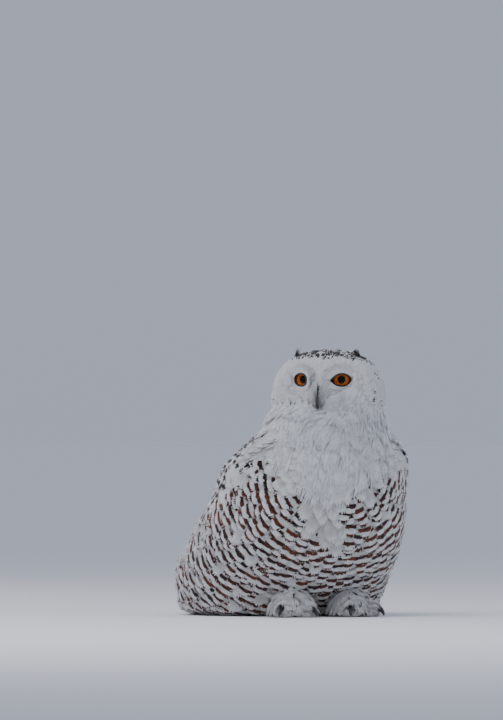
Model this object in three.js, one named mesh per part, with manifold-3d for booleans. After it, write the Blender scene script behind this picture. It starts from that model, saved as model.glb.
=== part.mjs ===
// A snowy owl, life size, sitting low on its feet with fluffed plumage and its head turned to its right.
// Millimetres, +Z up. The breast faces -Y, the tail +Y, and the bird's left side is +X.
// Every solid is the outer form of the plumage, out to the feather tips. Lengths are laid out from the
// ground point between the toes; the last lines centre the bird's footprint on the origin.

import * as THREE from "three";
import { mergeVertices } from "three/addons/utils/BufferGeometryUtils.js";
import Module from "manifold-3d";

const wasm = await Module();
wasm.setup();

const SEAM = 0.3; // clear space left between neighbouring solids
const DEGREE = Math.PI / 180;

// Horizontal sections of the trunk's plumage: height, half width, foremost y and hindmost y.
const TRUNK_SECTIONS = [
  [0, 134, 58, 288],
  [17, 141, 38, 303],
  [38, 143, 10, 309],
  [60, 144, -14, 304],
  [81, 144, -36, 284],
  [102, 143, -52, 257],
  [123, 142, -61, 233],
  [150, 138, -66, 201],
  [175, 131, -68, 177],
  [201, 128, -66, 158],
  [223, 121, -63, 140],
  [237, 114, -62, 124],
  [251, 104, -63, 105],
  [265, 91, -64, 86],
  [285, 80, -59, 70],
  [302, 58, -38, 48],
];
const TRUNK = { bottom: 4, top: 302, rimRadius: 12, roundness: 2.15 };
// The wind lifts the flank feathers of the bird's right side by this much.
const WIND_LIFT = { amount: 13, angle: -110, angleSpread: 36, height: 66, heightSpread: 66 };

const NECK = { top: 291, bottom: 256, tilt: 6 }; // the planes that part head, neck and trunk

const HEAD = {
  centre: [1.5, -3, 330],
  yaw: -36, // turned to the bird's right
  pitch: 3, // bill down
  up: 51,
  under: 82,
  side: 77,
  front: 59,
  back: 73,
  crownRoundness: 0.86,
  chinRoundness: 0.72,
  cheek: 9, // extra half width of the ruff under the cheeks
  cheekHeight: -26,
  cheekSpread: 26,
  faceFlatness: 2.15,
  dish: { depth: 14, side: 30, height: 7, halfWidth: 16, halfHeight: 22 }, // the hollow round each eye
};

// The full ruff of throat and nape feathers that joins the head to the shoulders.
const RUFF = { centre: [0, 2, 273], half: [86, 68, 47] };

const EYE = { radius: 15.5, depth: 12, side: 25.8, forward: 33, height: 9, outward: 20 };
const LIDS = { halfWidth: 12.8, halfHeight: 8.6 }; // the opening between the eyelids
const BILL = {
  upper: { height: -5, forward: 45, length: 24, drop: 28, halfWidth: 6.6, halfDepth: 7.5 },
  lower: { height: -17.5, forward: 42, length: 22.5, drop: 10, halfWidth: 5.4, halfDepth: 4.2 },
};
const EAR_TUFT = { side: 43.5, forward: 9, height: 40.5, length: 9.5, radius: 2.6, lean: 6 };

// A folded wing lies on the trunk between two edges, each from wrist to tip: [angle from the breast, height].
const WING = {
  upperEdge: [[66, 262], [112, 236], [150, 160], [169, 84]],
  lowerEdge: [[58, 196], [84, 118], [118, 70], [160, 44]],
  thickness: 12,
  tipThickness: 7,
};

const TAIL = { root: 222, tip: 372, rootHeight: 37, tipHeight: 0.5, rootHalf: 40, tipHalf: 58, thick: 18, thin: 8 };

const FOOT = {
  side: 45,
  back: 24,
  splay: 20,
  toeWidth: 16,
  toeHeight: 29,
  instep: [31, 29, 36],
  spread: { inner: -41, middle: 20, outer: 112, hind: -158 }, // from the foot's axis, outwards
  reach: { inner: 35, middle: 37, outer: 20, hind: 17 },
};
const LEG = { radius: 22, top: 66 };
const CLAW = { length: 19, drop: 14, halfWidth: 3.8, halfDepth: 4.6, sink: 9 };

// ---------- shared helpers ----------

// Smooth curve through rows of [position, ...values]: cubic pieces whose slopes are the neighbours' slope.
function along(rows, position) {
  const last = rows.length - 1;
  const at = Math.min(Math.max(position, rows[0][0]), rows[last][0]);
  let i = 0;
  while (i < last - 1 && at > rows[i + 1][0]) i++;
  const slope = (j, k) => {
    const a = rows[Math.max(j - 1, 0)];
    const b = rows[Math.min(j + 1, last)];
    return (b[k] - a[k]) / (b[0] - a[0]);
  };
  const span = rows[i + 1][0] - rows[i][0];
  const t = (at - rows[i][0]) / span;
  return rows[i].slice(1).map((value, n) => {
    const k = n + 1;
    const end = rows[i + 1][k];
    return (
      (2 * t ** 3 - 3 * t ** 2 + 1) * value +
      (t ** 3 - 2 * t ** 2 + t) * span * slope(i, k) +
      (3 * t ** 2 - 2 * t ** 3) * end +
      (t ** 3 - t ** 2) * span * slope(i + 1, k)
    );
  });
}

const signedPower = (x, power) => Math.sign(x) * Math.abs(x) ** power;
const bell = (x) => Math.exp(-x * x);
const mix = THREE.MathUtils.lerp;

// A closed skin made from a sphere: place(around, down) says where each of its points goes. Around and
// down run from 0 to 1, and every point with down 0 or 1 is one pole.
function ovoid(columns, rows, place) {
  const geometry = new THREE.SphereGeometry(1, columns, rows);
  const { position, uv } = geometry.attributes;
  for (let i = 0; i < position.count; i++) {
    const down = 1 - uv.getY(i);
    const atPole = down < 1e-6 || down > 1 - 1e-6;
    const point = place(atPole ? 0 : uv.getX(i) % 1, down);
    position.setXYZ(i, point.x, point.y, point.z);
  }
  return geometry;
}

// A three.js geometry as a manifold-3d solid, turned the right way out.
function solid(geometry) {
  const bare = geometry.index ? geometry.toNonIndexed() : geometry.clone();
  bare.deleteAttribute("normal");
  bare.deleteAttribute("uv");
  const merged = mergeVertices(bare, 1e-3);
  const triVerts = new Uint32Array(merged.index.array);
  const build = () =>
    new wasm.Manifold(
      new wasm.Mesh({ numProp: 3, vertProperties: merged.attributes.position.array, triVerts }),
    );
  const made = build();
  if (made.volume() >= 0) return made;
  for (let i = 0; i < triVerts.length; i += 3) {
    [triVerts[i + 1], triVerts[i + 2]] = [triVerts[i + 2], triVerts[i + 1]];
  }
  return build();
}

// The largest body of a manifold-3d solid as a named mesh with its own finish.
function piece(name, shape, [color, roughness]) {
  const body = shape.decompose().sort((a, b) => b.volume() - a.volume())[0];
  const mesh = body.getMesh();
  const points = new Float32Array(mesh.numVert * 3);
  for (let i = 0; i < mesh.numVert; i++) {
    points.set(mesh.vertProperties.subarray(i * mesh.numProp, i * mesh.numProp + 3), i * 3);
  }
  const geometry = new THREE.BufferGeometry()
    .setAttribute("position", new THREE.BufferAttribute(points, 3))
    .setIndex(new THREE.BufferAttribute(mesh.triVerts, 1));
  geometry.computeVertexNormals();
  const made = new THREE.Mesh(
    geometry,
    new THREE.MeshStandardMaterial({ color, roughness, metalness: 0 }),
  );
  made.name = name;
  return made;
}

// A block that fills everything on one side of a plane through the point, on the side of its normal.
function halfSpace(point, normal) {
  const size = 1200;
  const block = new THREE.BoxGeometry(size, size, size).translate(0, 0, size / 2);
  const turn = new THREE.Quaternion().setFromUnitVectors(
    new THREE.Vector3(0, 0, 1),
    normal.clone().normalize(),
  );
  return solid(block.applyQuaternion(turn).translate(point.x, point.y, point.z));
}

const FINISH = {
  barred: [0xd9d6d0, 0.9],
  white: [0xe8ebec, 0.9],
  spotted: [0xcfccc7, 0.88],
  eye: [0xc06a10, 0.12],
  horn: [0x17181a, 0.35],
};

// ---------- trunk ----------

// A point of the trunk's surface, by the angle from the breast towards the bird's left and the height.
function trunkPoint(angle, height, grow = 0) {
  const [halfWidth, front, back] = along(TRUNK_SECTIONS, height);
  const middle = (front + back) / 2;
  const depth = (back - front) / 2;
  const power = 2 / TRUNK.roundness;
  const wind =
    WIND_LIFT.amount *
    bell((angle / DEGREE - WIND_LIFT.angle) / WIND_LIFT.angleSpread) *
    bell((height - WIND_LIFT.height) / WIND_LIFT.heightSpread);
  return new THREE.Vector3(
    (halfWidth + grow + wind) * signedPower(Math.sin(angle), power),
    middle - (depth + grow + wind * 0.4) * signedPower(Math.cos(angle), power),
    height,
  );
}

// The trunk closes at both ends with a rim of this radius and a flat end.
function trunkSolid(grow = 0) {
  const { bottom, top, rimRadius } = TRUNK;
  const low = bottom - grow;
  const high = top + grow;
  const endShare = 0.16;
  return solid(
    ovoid(40, 24, (around, down) => {
      const angle = around * 2 * Math.PI;
      const fromEnd = Math.min(down, 1 - down);
      const lower = down > 0.5;
      if (fromEnd < endShare) {
        const turn = (fromEnd / endShare) * (Math.PI / 2);
        const rise = rimRadius * (1 - Math.sin(turn) ** 3);
        const height = lower ? low + rimRadius - rise : high - rimRadius + rise;
        const wide = trunkPoint(angle, height, grow);
        const [, front, back] = along(TRUNK_SECTIONS, height);
        const axis = new THREE.Vector3(0, (front + back) / 2, height);
        return axis.lerp(wide, Math.sin(turn) ** 0.8);
      }
      const share = (down - endShare) / (1 - 2 * endShare);
      return trunkPoint(angle, mix(high - rimRadius, low + rimRadius, share), grow);
    }),
  );
}

// ---------- head ----------

const headTurn = new THREE.Matrix4()
  .makeTranslation(...HEAD.centre)
  .multiply(new THREE.Matrix4().makeRotationZ(HEAD.yaw * DEGREE))
  .multiply(new THREE.Matrix4().makeRotationX(HEAD.pitch * DEGREE));

// The head's outer form in its own frame: an ovoid with a flattened face and a full ruff.
function headPoint(around, down, grow = 0) {
  const angle = around * 2 * Math.PI;
  const turn = down * Math.PI;
  const rise = Math.cos(turn);
  const ring = Math.sin(turn) ** (rise > 0 ? HEAD.crownRoundness : HEAD.chinRoundness);
  const z = rise * ((rise > 0 ? HEAD.up : HEAD.under) + grow);
  const cheek = HEAD.cheek * bell((z - HEAD.cheekHeight) / HEAD.cheekSpread);
  const ahead = Math.cos(angle) > 0;
  const reach = ahead ? HEAD.front + cheek * 0.2 : HEAD.back + cheek * 0.5;
  const power = ahead ? 2 / HEAD.faceFlatness : 1;
  const x = (HEAD.side + cheek + grow) * ring * signedPower(Math.sin(angle), power);
  const y = -(reach + grow) * ring * signedPower(Math.cos(angle), power);
  const { depth, side, height, halfWidth, halfHeight } = HEAD.dish;
  const dish = ahead ? depth * bell((Math.abs(x) - side) / halfWidth) * bell((z - height) / halfHeight) : 0;
  return new THREE.Vector3(x, Math.min(y + dish, Math.max(y, 0)), z);
}

function headSolid(grow = 0) {
  const form = ovoid(28, 18, (around, down) => headPoint(around, down, grow));
  return solid(form.applyMatrix4(headTurn));
}

function ruffSolid(grow = 0) {
  const ball = new THREE.SphereGeometry(1, 28, 12).rotateX(Math.PI / 2);
  return solid(ball.scale(...RUFF.half.map((size) => size + grow)).translate(...RUFF.centre));
}

// Sets a form made at the origin, looking along -Y, into one eye's place. Side is +1 for the bird's left.
function atEye(form, side) {
  form.rotateZ(side * EYE.outward * DEGREE);
  form.translate(side * EYE.side, -EYE.forward, EYE.height);
  return solid(form.applyMatrix4(headTurn));
}

function eyeSolid(side, grow = 0) {
  const ball = new THREE.SphereGeometry(1, 16, 10).rotateX(Math.PI / 2);
  return atEye(ball.scale(EYE.radius + grow, EYE.depth + grow, EYE.radius + grow), side);
}

// The room in the plumage for one eye: the eyeball with some clearance and the opening between the lids.
function socketSolid(side) {
  const reach = 40;
  const opening = new THREE.CylinderGeometry(1, 1, reach, 16).translate(0, -reach / 2, 0);
  return eyeSolid(side, SEAM).add(atEye(opening.scale(LIDS.halfWidth, 1, LIDS.halfHeight), side));
}

// A horn shape swept along a quarter curve: it starts at the origin along -Y and turns down as it tapers.
function horn({ length, drop, halfWidth, halfDepth }, columns, rows, grow = 0) {
  const tipLength = 0.04;
  return ovoid(columns, rows, (around, down) => {
    const t = Math.max(0, (down - tipLength) / (1 - tipLength));
    const bend = (t * Math.PI) / 2;
    const swell = down < tipLength ? down / tipLength : Math.sqrt(Math.max(0, 1 - t ** 1.6));
    const angle = around * 2 * Math.PI;
    const pad = swell > 0 ? grow : 0;
    const thick = (halfDepth * swell + pad) * Math.cos(angle);
    return new THREE.Vector3(
      (halfWidth * swell + pad) * Math.sin(angle),
      -length * Math.sin(bend) - thick * Math.sin(bend),
      -drop * (1 - Math.cos(bend)) + thick * Math.cos(bend),
    );
  });
}

function billSolid(half, grow = 0) {
  const form = horn(half, 12, 9, grow);
  return solid(form.translate(0, -half.forward, half.height).applyMatrix4(headTurn));
}

function earTuftSolid(side, grow = 0) {
  const tuft = ovoid(8, 5, (around, down) => {
    const swell = (EAR_TUFT.radius + grow) * Math.sin(Math.PI * Math.min(1, down * 1.15)) ** 0.7;
    const angle = around * 2 * Math.PI;
    const width = down > 0.86 ? 0 : swell;
    return new THREE.Vector3(
      width * Math.cos(angle) + side * EAR_TUFT.lean * 0.2 * down,
      width * Math.sin(angle) + EAR_TUFT.lean * (1 - down) * 0.3,
      EAR_TUFT.length * (0.5 - down) * 2,
    );
  });
  tuft.translate(side * EAR_TUFT.side, -EAR_TUFT.forward, EAR_TUFT.height);
  return solid(tuft.applyMatrix4(headTurn));
}

// ---------- wings and tail ----------

// The folded wing as a lens that follows the trunk: its far side lies inside the trunk and is cut away.
function wingSolid(side) {
  const inEdges = (edge) => edge.map((row, i) => [i / (edge.length - 1), ...row]);
  const upper = inEdges(WING.upperEdge);
  const lower = inEdges(WING.lowerEdge);
  const sinkShare = 0.6;
  return solid(
    ovoid(26, 12, (around, down) => {
      const turn = around * 2 * Math.PI;
      const ring = Math.sin(down * Math.PI);
      const lengthwise = (1 - Math.cos(down * Math.PI)) / 2;
      const across = (1 + signedPower(Math.cos(turn), 0.8) * ring ** 0.7) / 2;
      const outwards = Math.sin(turn) * ring ** 0.6;
      const [upperAngle, upperHeight] = along(upper, lengthwise);
      const [lowerAngle, lowerHeight] = along(lower, lengthwise);
      const angle = side * mix(lowerAngle, upperAngle, across) * DEGREE;
      const height = mix(lowerHeight, upperHeight, across);
      const thickness = mix(WING.thickness, WING.tipThickness, lengthwise);
      return trunkPoint(angle, height, outwards * thickness * (outwards < 0 ? sinkShare : 1));
    }),
  );
}

// The closed tail: a fan of rounded outline that slopes down to the ground behind the trunk.
function tailSolid() {
  const length = TAIL.tip - TAIL.root;
  const slope = (TAIL.rootHeight - TAIL.tipHeight) / length;
  return solid(
    ovoid(24, 12, (around, down) => {
      const turn = around * 2 * Math.PI;
      const ring = Math.sin(down * Math.PI) ** 0.55;
      const lengthwise = (1 - Math.cos(down * Math.PI)) / 2;
      const half = mix(TAIL.rootHalf, TAIL.tipHalf, Math.sqrt(lengthwise));
      const thick = mix(TAIL.thick, TAIL.thin, lengthwise) / 2;
      const arch = 5 * Math.cos(turn) ** 2;
      return new THREE.Vector3(
        half * ring * Math.cos(turn),
        TAIL.root + length * lengthwise,
        TAIL.rootHeight - slope * length * lengthwise + thick * ring * Math.sin(turn) - arch * ring,
      );
    }),
  );
}

// ---------- legs, feet and claws ----------

const anklePlace = (side) => new THREE.Vector3(side * FOOT.side, FOOT.back, 0);

// The direction of one toe on the ground, measured from straight ahead towards the bird's outer side.
function toeDirection(side, toe) {
  const angle = side * (FOOT.splay + FOOT.spread[toe]) * DEGREE;
  return new THREE.Vector3(Math.sin(angle), -Math.cos(angle), 0);
}

// One feathered toe: a rounded ridge from the ankle to the toe's end, lower and slimmer at the end.
function toeSolid(side, toe, grow) {
  const ahead = toeDirection(side, toe);
  const across = new THREE.Vector3(-ahead.y, ahead.x, 0);
  const reach = FOOT.reach[toe] + FOOT.toeWidth * 0.5 + grow;
  return solid(
    ovoid(10, 7, (around, down) => {
      const turn = around * 2 * Math.PI;
      const ring = Math.sin(down * Math.PI) ** 0.6;
      const lengthwise = (1 - Math.cos(down * Math.PI)) / 2;
      const height = mix(FOOT.toeHeight, FOOT.toeHeight * 0.62, lengthwise) + grow;
      const width = mix(FOOT.toeWidth * 1.05, FOOT.toeWidth * 0.86, lengthwise) + grow;
      return anklePlace(side)
        .addScaledVector(ahead, reach * (lengthwise * 1.25 - 0.25))
        .addScaledVector(across, width * ring * Math.cos(turn))
        .add(new THREE.Vector3(0, 0, height * (0.36 + 0.58 * ring * Math.sin(turn))));
    }),
  );
}

function footSolid(side, floor, grow = 0) {
  const [wide, long, high] = FOOT.instep.map((size) => size + grow);
  const instep = new THREE.SphereGeometry(1, 14, 8).rotateX(Math.PI / 2).scale(wide, long, high);
  const ankle = anklePlace(side);
  instep.rotateZ(side * FOOT.splay * DEGREE).translate(ankle.x, ankle.y - 4, 4);
  const toes = Object.keys(FOOT.spread).map((toe) => toeSolid(side, toe, grow));
  return toes.reduce((foot, toe) => foot.add(toe), solid(instep)).intersect(floor);
}

function legSolid(side) {
  const shank = new THREE.SphereGeometry(1, 14, 8).rotateX(Math.PI / 2);
  const ankle = anklePlace(side);
  shank.scale(LEG.radius, LEG.radius * 1.1, LEG.top / 2);
  return solid(shank.translate(ankle.x * 0.96, ankle.y + 10, LEG.top * 0.62));
}

// The toe's claw, curving down from its end to just above the ground.
function clawSolid(side, toe) {
  const ahead = toeDirection(side, toe);
  const claw = horn(CLAW, 8, 7);
  const start = anklePlace(side).addScaledVector(ahead, FOOT.reach[toe] + FOOT.toeWidth * 0.5 - CLAW.sink);
  claw.rotateZ(Math.atan2(ahead.x, -ahead.y));
  return solid(claw.translate(start.x, start.y, CLAW.drop + 1.2));
}

// ---------- the bird ----------

function buildOwl() {
  const owl = new THREE.Group();
  owl.name = "snowy_owl";
  const add = (name, shape, finish) => owl.add(piece(name, shape, finish));
  const floor = halfSpace(new THREE.Vector3(0, 0, 0), new THREE.Vector3(0, 0, 1));

  const body = trunkSolid().add(headSolid()).add(ruffSolid());
  const bodyGrown = trunkSolid(SEAM).add(headSolid(SEAM)).add(ruffSolid(SEAM));
  const tilted = new THREE.Vector3(0, Math.sin(NECK.tilt * DEGREE), Math.cos(NECK.tilt * DEGREE));
  const cut = (height, direction) =>
    halfSpace(new THREE.Vector3(0, 0, height + direction * SEAM / 2), tilted.clone().multiplyScalar(direction));

  const sides = [["left", 1], ["right", -1]];
  const sockets = socketSolid(1).add(socketSolid(-1));
  add("head", body.intersect(cut(NECK.top, 1)).subtract(sockets), FINISH.white);
  add("neck", body.intersect(cut(NECK.top, -1)).intersect(cut(NECK.bottom, 1)).subtract(sockets), FINISH.white);
  const trunk = body.intersect(cut(NECK.bottom, -1));

  const wings = sides.map(([name, side]) => [name, wingSolid(side)]);
  wings.forEach(([name, wing]) => add(`wing_${name}`, wing.subtract(bodyGrown), FINISH.spotted));
  const tail = tailSolid().intersect(floor);
  add("trunk", trunk, FINISH.barred);
  add("tail", tail.subtract(bodyGrown), FINISH.spotted);

  add("bill_upper", billSolid(BILL.upper).subtract(bodyGrown), FINISH.horn);
  const lowerBill = billSolid(BILL.lower).subtract(bodyGrown).subtract(billSolid(BILL.upper, SEAM));
  add("bill_lower", lowerBill, FINISH.horn);

  sides.forEach(([name, side]) => {
    add(`eye_${name}`, eyeSolid(side), FINISH.eye);
    add(`ear_tuft_${name}`, earTuftSolid(side).subtract(bodyGrown), FINISH.spotted);
    const foot = footSolid(side, floor);
    const footRoom = footSolid(side, floor, SEAM);
    add(`foot_${name}`, foot.subtract(bodyGrown), FINISH.white);
    add(`leg_${name}`, legSolid(side).subtract(bodyGrown).subtract(footRoom), FINISH.white);
    Object.keys(FOOT.spread).forEach((toe) => {
      add(`claw_${name}_${toe}`, clawSolid(side, toe).subtract(footRoom).subtract(bodyGrown), FINISH.horn);
    });
  });

  owl.updateMatrixWorld(true);
  const box = new THREE.Box3().setFromObject(owl);
  owl.position.set(-(box.min.x + box.max.x) / 2, -(box.min.y + box.max.y) / 2, -box.min.z);
  return owl;
}

export default buildOwl();
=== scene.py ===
"""A life-size snowy owl sitting low on the ground: one skin, a coat of solid feathers laid over it in
tracts, and eyes, lids, bill and claws of their own. Shapes are worked out in millimetres in the bird's
own layout (breast towards -Y, bird's left +X, ground at zero) and put in the frame by one function."""

from functools import partial

import bpy
import numpy as np
from mathutils import Matrix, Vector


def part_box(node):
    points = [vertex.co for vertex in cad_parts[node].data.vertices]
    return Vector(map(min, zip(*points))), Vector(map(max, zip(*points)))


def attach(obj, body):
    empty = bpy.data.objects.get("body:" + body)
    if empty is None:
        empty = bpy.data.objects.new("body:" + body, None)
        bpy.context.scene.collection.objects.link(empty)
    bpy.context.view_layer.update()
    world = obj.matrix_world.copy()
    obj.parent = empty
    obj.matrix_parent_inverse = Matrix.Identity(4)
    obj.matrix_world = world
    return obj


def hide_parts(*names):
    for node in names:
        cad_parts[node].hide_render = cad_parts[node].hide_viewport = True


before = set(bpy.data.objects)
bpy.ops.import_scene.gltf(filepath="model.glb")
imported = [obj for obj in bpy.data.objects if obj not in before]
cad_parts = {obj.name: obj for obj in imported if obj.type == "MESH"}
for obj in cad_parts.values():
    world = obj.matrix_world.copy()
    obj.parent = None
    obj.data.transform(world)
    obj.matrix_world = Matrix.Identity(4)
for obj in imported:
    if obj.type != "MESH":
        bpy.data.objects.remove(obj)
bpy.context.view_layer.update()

MM = 0.001

# ---------- the bird's own measures, in millimetres, as the solids have them ----------

# height, half width, foremost y, hindmost y of the trunk's plumage
TRUNK_SECTIONS = np.array([
    [0, 134, 58, 288], [17, 141, 38, 303], [38, 143, 10, 309], [60, 144, -14, 304], [81, 144, -36, 284],
    [102, 143, -52, 257], [123, 142, -61, 233], [150, 138, -66, 201], [175, 131, -68, 177],
    [201, 128, -66, 158], [223, 121, -63, 140], [237, 114, -62, 124], [251, 104, -63, 105],
    [265, 91, -64, 86], [285, 80, -59, 70], [302, 58, -38, 48],
], float)
TRUNK_BOTTOM, TRUNK_TOP, TRUNK_RIM, TRUNK_ROUNDNESS, TRUNK_END = 4, 302, 12, 2.15, 0.16
WIND_AMOUNT, WIND_ANGLE, WIND_ANGLE_SPREAD, WIND_HEIGHT, WIND_HEIGHT_SPREAD = 13, -110, 36, 66, 66

HEAD_CENTRE = np.array([1.5, -3.0, 330.0])
HEAD_YAW, HEAD_PITCH = -36, 3
HEAD_UP, HEAD_UNDER, HEAD_SIDE, HEAD_FRONT, HEAD_BACK = 51, 82, 77, 59, 73
HEAD_CROWN, HEAD_CHIN = 0.86, 0.72
CHEEK, CHEEK_HEIGHT, CHEEK_SPREAD = 9, -26, 26
FACE_ROUNDNESS = 2.15
DISH_DEPTH, DISH_SIDE, DISH_HEIGHT, DISH_HALF_WIDTH, DISH_HALF_HEIGHT = 14, 30, 7, 16, 22

RUFF_CENTRE, RUFF_HALF, RUFF_REACH = np.array([0.0, 2.0, 273.0]), np.array([86.0, 68.0, 47.0]), 55
CREASE_SOFTNESS = 6.0  # mm over which the hollows between trunk, head and ruff are filled

EYE_SIDE, EYE_FORWARD, EYE_HEIGHT, EYE_OUTWARD = 25.8, 33, 9, 20
EYE_RADIUS, EYE_DEPTH = 15.5, 12.0
EAR_SIDE, EAR_FORWARD, EAR_HEIGHT = 43.5, 9, 40.5

# [angle from the breast, height] along the folded wing's two edges, from wrist to tip
WING_UPPER = np.array([[0, 66, 262], [1 / 3, 112, 236], [2 / 3, 150, 160], [1, 169, 84]], float)
WING_LOWER = np.array([[0, 58, 196], [1 / 3, 84, 118], [2 / 3, 118, 70], [1, 160, 44]], float)
WING_THICK, WING_TIP_THICK = 12, 7
WING_FROM, WING_TO = 58, 169  # degrees from the breast

TAIL_ROOT, TAIL_TIP, TAIL_ROOT_HALF, TAIL_TIP_HALF = 222, 372, 40, 58

FOOT_SIDE, FOOT_BACK, FOOT_SPLAY = 45, 24, 20
TOE_WIDTH, TOE_HEIGHT = 16, 29
INSTEP = np.array([31.0, 29.0, 36.0])
GROUND_GAP = 0.3  # mm that the skin and the coat stay above the ground
TOES = {"inner": (-41, 35), "middle": (20, 37), "outer": (112, 20), "hind": (-158, 17)}  # spread, reach

# the layout's place in the frame: the feet are a mirrored pair, and the trunk's hindmost feather is known
feet = np.array([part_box("foot_left"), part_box("foot_right")])
SHIFT = np.array([feet[..., 0].mean(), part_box("trunk")[1][1] - TRUNK_SECTIONS[:, 3].max() * MM, 0.0])
UP = np.array([0.0, 0.0, 1.0])


def placed(points):
    """Layout millimetres to frame metres."""
    return np.asarray(points) * MM + SHIFT


# ---------- small helpers on whole arrays ----------


def unit(v):
    """v divided by its length along the last axis."""
    return v / np.maximum(np.linalg.norm(v, axis=-1, keepdims=True), 1e-9)


def bell(x):
    """exp(-x squared)."""
    return np.exp(-x * x)


def ease(low, high, x):
    """0 below low and 1 above high, with a cubic between them."""
    t = np.clip((np.asarray(x, float) - low) / (high - low), 0, 1)
    return t * t * (3 - 2 * t)


def signed_power(x, power):
    """|x| to the power, with x's sign."""
    return np.sign(x) * np.abs(x) ** power


def dot(a, b):
    """The dot product along the last axis, kept as an axis of one."""
    return np.sum(a * b, axis=-1, keepdims=True)


def along(rows, at):
    """Cubic pieces through rows of (position, values...), whose slopes are the neighbours' slope."""
    x, y = rows[:, 0], rows[:, 1:]
    slope = np.empty_like(y)
    slope[1:-1] = (y[2:] - y[:-2]) / (x[2:] - x[:-2])[:, None]
    slope[0] = (y[1] - y[0]) / (x[1] - x[0])
    slope[-1] = (y[-1] - y[-2]) / (x[-1] - x[-2])
    at = np.clip(np.asarray(at, float), x[0], x[-1])
    i = np.clip(np.searchsorted(x, at, side="right") - 1, 0, len(x) - 2)
    span = (x[i + 1] - x[i])[..., None]
    t = (at - x[i])[..., None] / span
    value = (2 * t**3 - 3 * t**2 + 1) * y[i] + (t**3 - 2 * t**2 + t) * span * slope[i]
    return np.moveaxis(value + (3 * t**2 - 2 * t**3) * y[i + 1] + (t**3 - t**2) * span * slope[i + 1], -1, 0)


# ---------- the plumage's outer forms ----------


def wing_relief(angle, height):
    """How far the folded wings stand out of the trunk: a rounded swelling between the wing's two edges."""
    a = np.abs(angle)
    edges = [np.interp(a, rows[:, 1], rows[:, 2]) for rows in (WING_UPPER, WING_LOWER)]
    t = (height - edges[1]) / np.maximum(edges[0] - edges[1], 1)
    lengthwise = np.clip((a - WING_FROM) / (WING_TO - WING_FROM), 0, 1)
    ends = ease(56, 76, a) * (1 - ease(156, 172, a))
    thick = WING_THICK + (WING_TIP_THICK - WING_THICK) * lengthwise
    return thick * ends * ease(-0.3, 0.75, t) * (1 - ease(0.78, 1.06, t))


def trunk_at(angle, down, out=0.0, wings=1.0):
    """A point of the trunk: an ellipse-like ring at each height, closed by a rim and a flat end. Angle is in
    degrees from the breast towards the bird's left; down runs from 0 at the top to 1 underneath."""
    low, high = TRUNK_BOTTOM - out, TRUNK_TOP + out
    turn = np.clip(np.minimum(down, 1 - down) / TRUNK_END, 0, 1) * np.pi / 2
    rise = TRUNK_RIM * (1 - np.sin(turn) ** 3)
    share = np.clip((down - TRUNK_END) / (1 - 2 * TRUNK_END), 0, 1)
    level = (high - TRUNK_RIM) + (low - high + 2 * TRUNK_RIM) * share
    height = np.where(down > 0.5, level - rise, level + rise)
    half, front, back = along(TRUNK_SECTIONS, height)
    a = np.radians(angle)
    out = out + wings * wing_relief(angle, height)
    wind = WIND_AMOUNT * bell((angle - WIND_ANGLE) / WIND_ANGLE_SPREAD)
    wind = wind * bell((height - WIND_HEIGHT) / WIND_HEIGHT_SPREAD)
    power = 2 / TRUNK_ROUNDNESS
    draw = np.sin(turn) ** 0.8
    middle = (front + back) / 2
    x = draw * (half + out + wind) * signed_power(np.sin(a), power)
    y = middle - draw * ((back - front) / 2 + out + 0.4 * wind) * signed_power(np.cos(a), power)
    return np.stack([x, y, height + 0 * x], axis=-1)


def down_of(height):
    """The trunk's down coordinate at a height: even between the rims, and round the lower rim's curve."""
    low, high = TRUNK_BOTTOM + TRUNK_RIM, TRUNK_TOP - TRUNK_RIM
    wall = TRUNK_END + (1 - 2 * TRUNK_END) * (high - np.clip(height, low, high)) / (high - low)
    under = np.arcsin(np.cbrt(1 - np.clip((low - height) / TRUNK_RIM, 0, 0.98))) / (np.pi / 2)
    return np.where(height < low, 1 - TRUNK_END * under, wall)


def sphere_point(angle, down):
    """The unit direction with that angle from the breast, in degrees, and that share of the way down."""
    a, t = np.radians(angle), np.pi * np.asarray(down)
    return np.stack([np.sin(t) * np.sin(a), -np.sin(t) * np.cos(a), np.cos(t) + 0 * a], axis=-1)


def angles_of(d):
    """The angle from the breast and the share of the way down of unit directions."""
    return np.degrees(np.arctan2(d[..., 0], -d[..., 1])), np.arccos(np.clip(d[..., 2], -1, 1)) / np.pi


def trunk_form(d, out=0.0):
    """The trunk with its wings over a sphere of directions."""
    return trunk_at(*angles_of(d), out)


def rotated(a, b, degrees):
    """The pair (a, b) turned by an angle: (a cos - b sin, a sin + b cos)."""
    cos, sin = np.cos(np.radians(degrees)), np.sin(np.radians(degrees))
    return a * cos - b * sin, a * sin + b * cos


def head_swing(v):
    """A direction from the head's own frame to the layout: pitch about X, then yaw about Z."""
    y, z = rotated(v[..., 1], v[..., 2], HEAD_PITCH)
    return np.stack([*rotated(v[..., 0], y, HEAD_YAW), z], axis=-1)


def head_turn(p):
    """A point from the head's own frame to the layout."""
    return head_swing(p) + HEAD_CENTRE


def head_unturn(p):
    """From the layout back to the head's own frame."""
    x, y, z = np.moveaxis(p - HEAD_CENTRE, -1, 0)
    x, y = rotated(x, y, -HEAD_YAW)
    return np.stack([x, *rotated(y, z, -HEAD_PITCH)], axis=-1)


def head_halves(z, ahead):
    """The head's half width and its reach to the front or the back at a height, fuller at the cheeks."""
    cheek = CHEEK * bell((z - CHEEK_HEIGHT) / CHEEK_SPREAD)
    return HEAD_SIDE + cheek, np.where(ahead, HEAD_FRONT + cheek * 0.2, HEAD_BACK + cheek * 0.5)


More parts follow.
